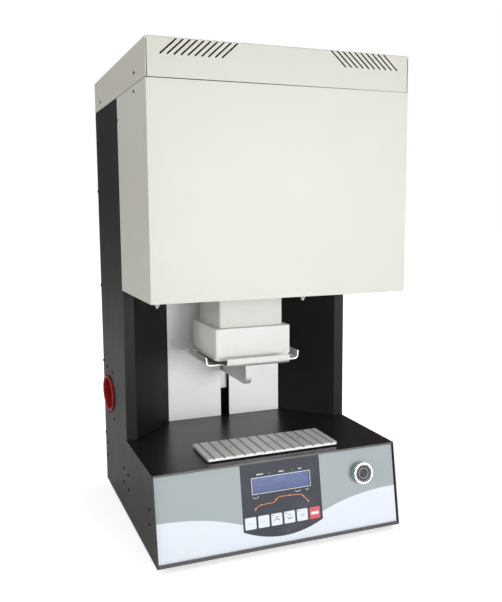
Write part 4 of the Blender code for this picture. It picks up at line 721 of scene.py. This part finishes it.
def ribbon(points, width, thickness, closed=False):
    line = [Vector(point) for point in points]
    count = len(line)
    shape = bmesh.new()
    pairs = []
    for number, point in enumerate(line):
        before = line[number - 1] if number or closed else point
        after = line[(number + 1) % count] if number + 1 < count or closed else point
        first = (point - before).normalized() if before != point else (after - point).normalized()
        second = (after - point).normalized() if after != point else first
        middle = (first + second).normalized()
        side = Vector((-middle.y, middle.x))
        half = width / 2 / max(0.5, middle.dot(first))
        left = point + side * half
        right = point - side * half
        pairs.append((shape.verts.new((*left, 0)), shape.verts.new((*right, 0))))
    for number in range(count if closed else count - 1):
        a, b = pairs[number]
        c, d = pairs[(number + 1) % count]
        shape.faces.new((a, b, d, c))
    raised = bmesh.ops.extrude_face_region(shape, geom=shape.faces[:])["geom"]
    verts = [part for part in raised if isinstance(part, bmesh.types.BMVert)]
    bmesh.ops.translate(shape, vec=(0, 0, thickness), verts=verts)
    bmesh.ops.recalc_face_normals(shape, faces=shape.faces)
    return shape


def merged(parts):
    result = bmesh.new()
    for shape, matrices in parts:
        source = bpy.data.meshes.new("source")
        shape.to_mesh(source)
        shape.free()
        for matrix in matrices:
            before = len(result.verts)
            result.from_mesh(source)
            result.verts.ensure_lookup_table()
            bmesh.ops.transform(result, matrix=matrix, verts=result.verts[before:])
        bpy.data.meshes.remove(source)
    return result


def facing(point, normal):
    turn = Vector(normal).to_track_quat("Z", "Y").to_matrix().to_4x4()
    return Matrix.Translation(point) @ turn


def onPanel(x, slope, lift=0.0, turn=0.0):
    local = Matrix.Translation((x, slope, filmFace + lift)) @ Matrix.Rotation(turn, 4, "Z")
    return panelFrame @ local


def arc(center, radius, start, end, steps=10):
    return [
        (center[0] + radius * math.cos(math.radians(start + (end - start) * step / steps)),
         center[1] + radius * math.sin(math.radians(start + (end - start) * step / steps)))
        for step in range(steps + 1)
    ]


# A button-head screw. The socket's ring is drawn in to a hexagon.
def buttonScrew(radius, height, socket):
    floor = 0.2 * height
    shape = turned([
        (0, floor), (socket, floor), (socket, 0.96 * height), (1.12 * socket, height),
        (0.62 * radius, 0.97 * height), (0.84 * radius, 0.72 * height), (0.96 * radius, 0.36 * height),
        (radius, 0.12 * height), (radius, -0.2 * height), (0, -0.2 * height),
    ])
    for vert in shape.verts:
        distance = math.hypot(vert.co.x, vert.co.y)
        if abs(distance - socket) < 0.05 * socket and vert.co.z > 0:
            angle = math.atan2(vert.co.y, vert.co.x) % math.radians(60) - math.radians(30)
            share = math.cos(math.radians(30)) / math.cos(angle)
            vert.co.x *= share
            vert.co.y *= share
    return shape


# A domed screw. The recess's ring is drawn out to four arms, and in between them.
def crossScrew(radius, height):
    shape = turned([
        (0, 0.30 * height), (0.10 * radius, 0.34 * height), (0.42 * radius, 0.96 * height),
        (0.60 * radius, height), (0.88 * radius, 0.70 * height), (radius, 0.2 * height),
        (radius, -0.3 * height), (0, -0.3 * height),
    ], 20)
    for vert in shape.verts:
        distance = math.hypot(vert.co.x, vert.co.y)
        if 0.35 * radius < distance < 0.5 * radius and vert.co.z > 0:
            angle = math.atan2(vert.co.y, vert.co.x)
            share = 0.45 + 0.75 * abs(math.cos(2 * angle)) ** 6
            vert.co.x *= share
            vert.co.y *= share
    return shape


def placeScrews(name, finish, shape, places):
    addPiece(merged([(shape, places)]), name, finish, "cabinet")


def makeSideScrews():
    screws = {
        "radius": 0.0025,
        "height": 0.0013,
        "socket": 0.00125,
        "head": [(0.066, 0.694), (0.071, 0.670), (0.332, 0.691), (0.190, 0.644)],
        "cabinet": [
            (0.385, 0.540), (0.385, 0.370), (0.385, 0.229), (0.348, 0.224), (0.300, 0.223), (0.3405, 0.141),
            (0.297, 0.139), (0.383, 0.091), (0.366, 0.075), (0.366, 0.052), (0.220, 0.075), (0.187, 0.074),
            (0.224, 0.050), (0.186, 0.050), (0.0405, 0.074), (0.041, 0.051),
        ],
    }
    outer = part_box("side_panel_right")[1].x
    for label, finish in (("head", "headScrew"), ("cabinet", "blackScrew")):
        places = [
            facing((side * outer, back(setback), up(height)), (side, 0, 0))
            for side in (-1, 1)
            for setback, height in screws[label]
        ]
        shape = buttonScrew(screws["radius"], screws["height"], screws["socket"])
        placeScrews(label + "SideScrews", finish, shape, places)


def makePlateScrews():
    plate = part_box("cooling_plate")
    screws = {"radius": 0.0030, "height": 0.0012, "spread": 0.0585, "setback": 0.083, "sink": 0.0002}
    level = plate[1].z - screws["sink"]
    places = [
        facing((side * screws["spread"], back(screws["setback"]), level), (0, 0, 1))
        for side in (-1, 1)
    ]
    placeScrews("plateScrews", "zincScrew", crossScrew(screws["radius"], screws["height"]), places)


def makeRearScrews():
    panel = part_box("rear_panel")
    screws = {"radius": 0.0028, "height": 0.0014, "margin": 0.010, "rows": [0.03, 0.27, 0.5, 0.73, 0.97]}
    height = panel[1].z - panel[0].z
    places = [
        facing((side * (panel[1].x - screws["margin"]), panel[1].y, panel[0].z + height * row), (0, 1, 0))
        for side in (-1, 1)
        for row in screws["rows"]
    ]
    placeScrews("rearScrews", "blackScrew", crossScrew(screws["radius"], screws["height"]), places)


def makeFanScrews():
    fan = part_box("fan_frame")
    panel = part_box("rear_panel")
    screws = {"radius": 0.0030, "height": 0.0014, "spread": 0.0305}
    middle = (fan[0] + fan[1]) / 2
    places = [
        facing((middle.x + across, panel[1].y, middle.z + rise), (0, 1, 0))
        for across in (-screws["spread"], screws["spread"])
        for rise in (-screws["spread"], screws["spread"])
    ]
    placeScrews("fanScrews", "zincScrew", crossScrew(screws["radius"], screws["height"]), places)


makeSideScrews()
makePlateScrews()
makeRearScrews()
makeFanScrews()
print("screws placed")

# What is printed on the film is laid on it as thin raised ink.
layer = {"thickness": 0.00006, "lift": 0.00001}


def makeDisplayFrame():
    rim = {
        "halfWidth": 0.0484,
        "halfHeight": 0.01205,
        "middle": 0.0951,
        "width": 0.0008,
        "thickness": 0.0002,
        "lift": 0.0001,
    }
    corners = [
        (-rim["halfWidth"], -rim["halfHeight"]), (rim["halfWidth"], -rim["halfHeight"]),
        (rim["halfWidth"], rim["halfHeight"]), (-rim["halfWidth"], rim["halfHeight"]),
    ]
    shape = ribbon(corners, rim["width"], rim["thickness"], closed=True)
    place = onPanel(0, rim["middle"], rim["lift"])
    addPiece(shape, "displayFrame", "inkWhite", "cabinet", place)


def makeHeatCurve():
    curve = {
        "points": [
            (-0.0462, 0.0586), (-0.0442, 0.0612), (-0.0400, 0.0645), (-0.0350, 0.0660), (-0.0136, 0.0668),
            (-0.0112, 0.0690), (-0.0088, 0.0718), (-0.0050, 0.0740), (0.0120, 0.0738), (0.0303, 0.0723),
            (0.0330, 0.0712), (0.0352, 0.0693), (0.0446, 0.0590),
        ],
        "marks": [
            (-0.0442, 0.0612), (-0.0350, 0.0660), (-0.0100, 0.0704), (0.0120, 0.0738), (0.0352, 0.0693),
            (0.0425, 0.0611),
        ],
        "width": 0.0010,
        "markSize": 0.0021,
        "markRound": 0.0004,
    }
    line = ribbon(curve["points"], curve["width"], layer["thickness"])
    addPiece(line, "heatCurve", "inkOrange", "cabinet", onPanel(0, 0, layer["lift"]))
    onLine = 3 * layer["lift"] + layer["thickness"]
    places = [onPanel(x, slope, onLine, math.radians(45)) for x, slope in curve["marks"]]
    outline = roundedOutline(curve["markSize"], curve["markSize"], curve["markRound"], 2)
    marks = merged([(flatPlate(outline, layer["thickness"]), places)])
    addPiece(marks, "curveMarks", "inkPale", "cabinet")


# Short plain dashes and arcs stand where the photograph has small words and signs.
def makePanelLabels():
    labels = {
        "dashes": [(-0.0345, 0.1118, 0.0112), (0.0010, 0.1118, 0.0080), (0.0322, 0.1118, 0.0056)],
        "ticks": [(-0.0190, 0.1118), (0.0195, 0.1118)],
        "arcs": [(-0.0430, 0.0786), (0.0268, 0.0790)],
        "hooks": [(0.0425, 0.0784)],
        "height": 0.0018,
        "round": 0.0004,
        "tick": (0.0005, 0.0024, 0.0001),
        "cup": ((0, 0.0040), 0.0058, 214, 326),
        "hook": [(-0.0026, 0.0012), (0.0002, -0.0012), (0.0028, 0.0014)],
        "line": 0.0008,
    }
    parts = []
    for x, slope, width in labels["dashes"]:
        dash = flatPlate(roundedOutline(width, labels["height"], labels["round"], 2), layer["thickness"])
        parts.append((dash, [onPanel(x, slope, layer["lift"])]))
    signs = {
        "ticks": flatPlate(roundedOutline(*labels["tick"], 2), layer["thickness"]),
        "arcs": ribbon(arc(*labels["cup"]), labels["line"], layer["thickness"]),
        "hooks": ribbon(labels["hook"], labels["line"], layer["thickness"]),
    }
    for label, shape in signs.items():
        parts.append((shape, [onPanel(x, slope, layer["lift"]) for x, slope in labels[label]]))
    addPiece(merged(parts), "panelLabels", "inkFaint", "cabinet")


# The middle of a key's top, and how far it stands above the film.
def keyTop(node):
    low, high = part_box(node)
    middle = (low + high) / 2
    local = panelFrame.inverted() @ middle
    top = max((panelFrame.inverted() @ vert.co).z for vert in nodes[node].data.vertices)
    return local.x, local.y, top - filmFace


def makeKeySigns():
    sign = {
        "broad": 0.0011,
        "fine": 0.0005,
        "chevron": [(-0.0040, -0.0016), (-0.0018, 0.0006), (0, 0.0013), (0.0018, 0.0006), (0.0040, -0.0016)],
        "bar": [(-0.0016, 0.0040), (0.0016, 0.0040)],
        "thickness": 0.00006,
        "lift": 0.00001,
        "dot": 0.0009,
        "dotPlace": (-0.0060, 0.0062, 0),
        "stopLabel": (0.0128, 0.0044, 0.0006, 3),
    }
    flipped = [(x, -y - 0.001) for x, y in sign["chevron"]]
    strokes = {
        "key_1": [([(-0.0040, 0), (0.0040, 0)], "fine")],
        "key_2": [([(-0.0032, 0), (0.0032, 0)], "fine")],
        "key_3": [(sign["chevron"], "broad"), (sign["bar"], "broad")],
        "key_4": [(flipped, "broad"), (sign["bar"], "broad")],
        "key_5": [([(-0.0034, height), (0.0034, height)], "fine") for height in (-0.0012, 0.0010)],
        "key_stop": [],
    }
    dotProfile = [(0, 0), (sign["dot"], 0), (sign["dot"], sign["thickness"]), (0, sign["thickness"])]
    for node, lines in strokes.items():
        x, slope, top = keyTop(node)
        place = onPanel(x, slope, top + sign["lift"])
        shapes = [ribbon(points, sign[width], sign["thickness"]) for points, width in lines]
        if node in ("key_3", "key_4", "key_5"):
            dot = turned(dotProfile, 12)
            bmesh.ops.translate(dot, vec=sign["dotPlace"], verts=dot.verts)
            shapes.append(dot)
        if node == "key_stop":
            shapes.append(flatPlate(roundedOutline(*sign["stopLabel"]), sign["thickness"]))
        finish = {"key_stop": "inkWhite", "key_1": "inkGrey", "key_2": "inkGrey"}.get(node, "inkBlack")
        name = node.replace("_", "") + "Sign"
        slot = "key_white" if node == "key_stop" else "black_plastic"
        addPiece(merged([(shape, [place]) for shape in shapes]), name, finish, node + "_body")


makeDisplayFrame()
makeHeatCurve()
makePanelLabels()
makeKeySigns()
print("panel printed")


# The dial has a ring of fine marks and an inner ring.
def makeDial():
    low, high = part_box("knob_face")
    middle = panelFrame.inverted() @ ((low + high) / 2)
    points = [panelFrame.inverted() @ vert.co for vert in nodes["knob_face"].data.vertices]
    top = max(point.z for point in points)
    radius = max(point.x for point in points) - middle.x
    dial = {
        "ticks": 24,
        "outer": 0.985,
        "tick": 0.15,
        "width": 0.00070,
        "round": 0.0001,
        "ring": 0.57,
        "ringWidth": 0.00045,
        "ringSides": 60,
        "thickness": 0.00006,
        "lift": 0.00002,
    }
    center = panelFrame @ Matrix.Translation((middle.x, middle.y, top + dial["lift"]))
    outline = roundedOutline(dial["width"], dial["tick"] * radius, dial["round"], 2)
    tick = flatPlate(outline, dial["thickness"])
    bmesh.ops.translate(tick, vec=(0, (dial["outer"] - dial["tick"] / 2) * radius, 0), verts=tick.verts)
    turn = 2 * math.pi / dial["ticks"]
    turns = [center @ Matrix.Rotation(turn * step, 4, "Z") for step in range(dial["ticks"])]
    sides = dial["ringSides"]
    circle = arc((0, 0), dial["ring"] * radius, 0, 360 - 360 / sides, sides - 1)
    ring = ribbon(circle, dial["ringWidth"], dial["thickness"], closed=True)
    addPiece(merged([(tick, turns)]), "dialMarks", "inkWhite", "knob_body")
    addPiece(merged([(ring, [center])]), "dialRing", "inkFaint", "knob_body")


makeDial()
print("dial marked")


# The floor glows for the camera only: white some way off, and less near the furnace, where its shadow shows.
def makeRoom():
    room = {"size": 12, "near": 0.3, "far": 1.3, "nearGlow": (0.62, 0.62, 0.62)}
    floorMesh = bmesh.new()
    bmesh.ops.create_grid(floorMesh, x_segments=1, y_segments=1, size=room["size"])
    mesh = bpy.data.meshes.new("studioFloor")
    floorMesh.to_mesh(mesh)
    floorMesh.free()
    floor = bpy.data.objects.new("studioFloor", mesh)
    bpy.context.scene.collection.objects.link(floor)
    pale = Finish("paleFloor", (0.86, 0.86, 0.86), 0.85, specular_ior_level=0.1)
    pale.tinted(pale.noise(2, 2) * 0.3, (0.88, 0.88, 0.88))
    x, y, _ = pale.axes()
    distance = (x ** 2 + y ** 2).root()
    glow = pale.mixed(distance.rise(room["near"], room["far"]), room["nearGlow"], (1, 1, 1))
    pale.set("Emission Color", pale.mixed(pale.node("LightPath", "Is Camera Ray"), (0, 0, 0), glow))
    pale.set("Emission Strength", 1.0)
    mesh.materials.append(pale.material)


def makeWorld():
    world = bpy.data.worlds.new("studio")
    bpy.context.scene.world = world
    world.use_nodes = True
    tree = world.node_tree
    tree.nodes.clear()
    path = tree.nodes.new("ShaderNodeLightPath")
    output = tree.nodes.new("ShaderNodeOutputWorld")

    def backdrop(color, strength):
        background = tree.nodes.new("ShaderNodeBackground")
        background.inputs["Color"].default_value = (*color, 1)
        background.inputs["Strength"].default_value = strength
        return background.outputs[0]

    # The kind of ray picks the chosen background over the other.
    def choose(ray, otherwise, chosen):
        mix = tree.nodes.new("ShaderNodeMixShader")
        tree.links.new(path.outputs[ray], mix.inputs[0])
        tree.links.new(otherwise, mix.inputs[1])
        tree.links.new(chosen, mix.inputs[2])
        return mix.outputs[0]

    room = choose("Is Glossy Ray", backdrop((0.98, 0.99, 1.0), 0.20), backdrop((1.0, 0.98, 0.95), 0.08))
    tree.links.new(choose("Is Camera Ray", room, backdrop((1, 1, 1), 1.0)), output.inputs["Surface"])


def addLight(name, location, target, size, power, color=(1, 1, 1)):
    lamp = bpy.data.lights.new(name, "AREA")
    lamp.shape = "SQUARE"
    lamp.size = size
    lamp.energy = power
    lamp.color = color
    light = bpy.data.objects.new(name, lamp)
    light.location = location
    light.rotation_euler = (Vector(location) - Vector(target)).to_track_quat("Z", "Y").to_euler()
    bpy.context.scene.collection.objects.link(light)


def makeLights():
    middle = (0, 0, 0.40)
    addLight("key", (1.15, -3.0, 0.50), middle, 1.3, 56)
    addLight("frontFill", (0.0, -3.1, 0.45), middle, 1.2, 9)
    addLight("lowFront", (0.3, -1.9, 0.16), (0, 0, 0.15), 0.8, 3.0)
    addLight("leftFill", (-2.6, -0.9, 1.0), middle, 1.4, 23, (1.0, 0.97, 0.90))
    addLight("overhead", (0.0, -0.3, 2.8), middle, 2.2, 14)
    addLight("rearLeft", (-2.2, 1.5, 2.0), middle, 1.4, 16)
    addLight("rearRight", (2.5, 0.9, 2.1), middle, 1.4, 22)


def makeCamera():
    view = {
        "azimuth": math.radians(21.484),
        "elevation": math.radians(7.225),
        "roll": math.radians(-0.3865),
        "place": Vector((-0.4273, -1.1395, 0.5137)),
        "lens": 43.053,
    }
    azimuth, elevation, roll = view["azimuth"], view["elevation"], view["roll"]
    forward = Vector((
        math.sin(azimuth) * math.cos(elevation), math.cos(azimuth) * math.cos(elevation), -math.sin(elevation)
    ))
    right = Vector((math.cos(azimuth), -math.sin(azimuth), 0))
    upward = right.cross(forward)
    tiltedRight = right * math.cos(roll) + upward * math.sin(roll)
    tiltedUp = upward * math.cos(roll) - right * math.sin(roll)
    turn = Matrix((tiltedRight, tiltedUp, -forward)).transposed().to_4x4()
    data = bpy.data.cameras.new("camera")
    data.lens = view["lens"]
    data.sensor_width = 36
    data.clip_start = 0.01
    camera = bpy.data.objects.new("camera", data)
    camera.matrix_world = Matrix.Translation(view["place"]) @ turn
    bpy.context.scene.collection.objects.link(camera)
    bpy.context.scene.camera = camera


makeRoom()
makeWorld()
makeLights()
makeCamera()
bpy.context.scene.view_settings.view_transform = "Standard"
print("studio set up")

bpy.context.view_layer.update()
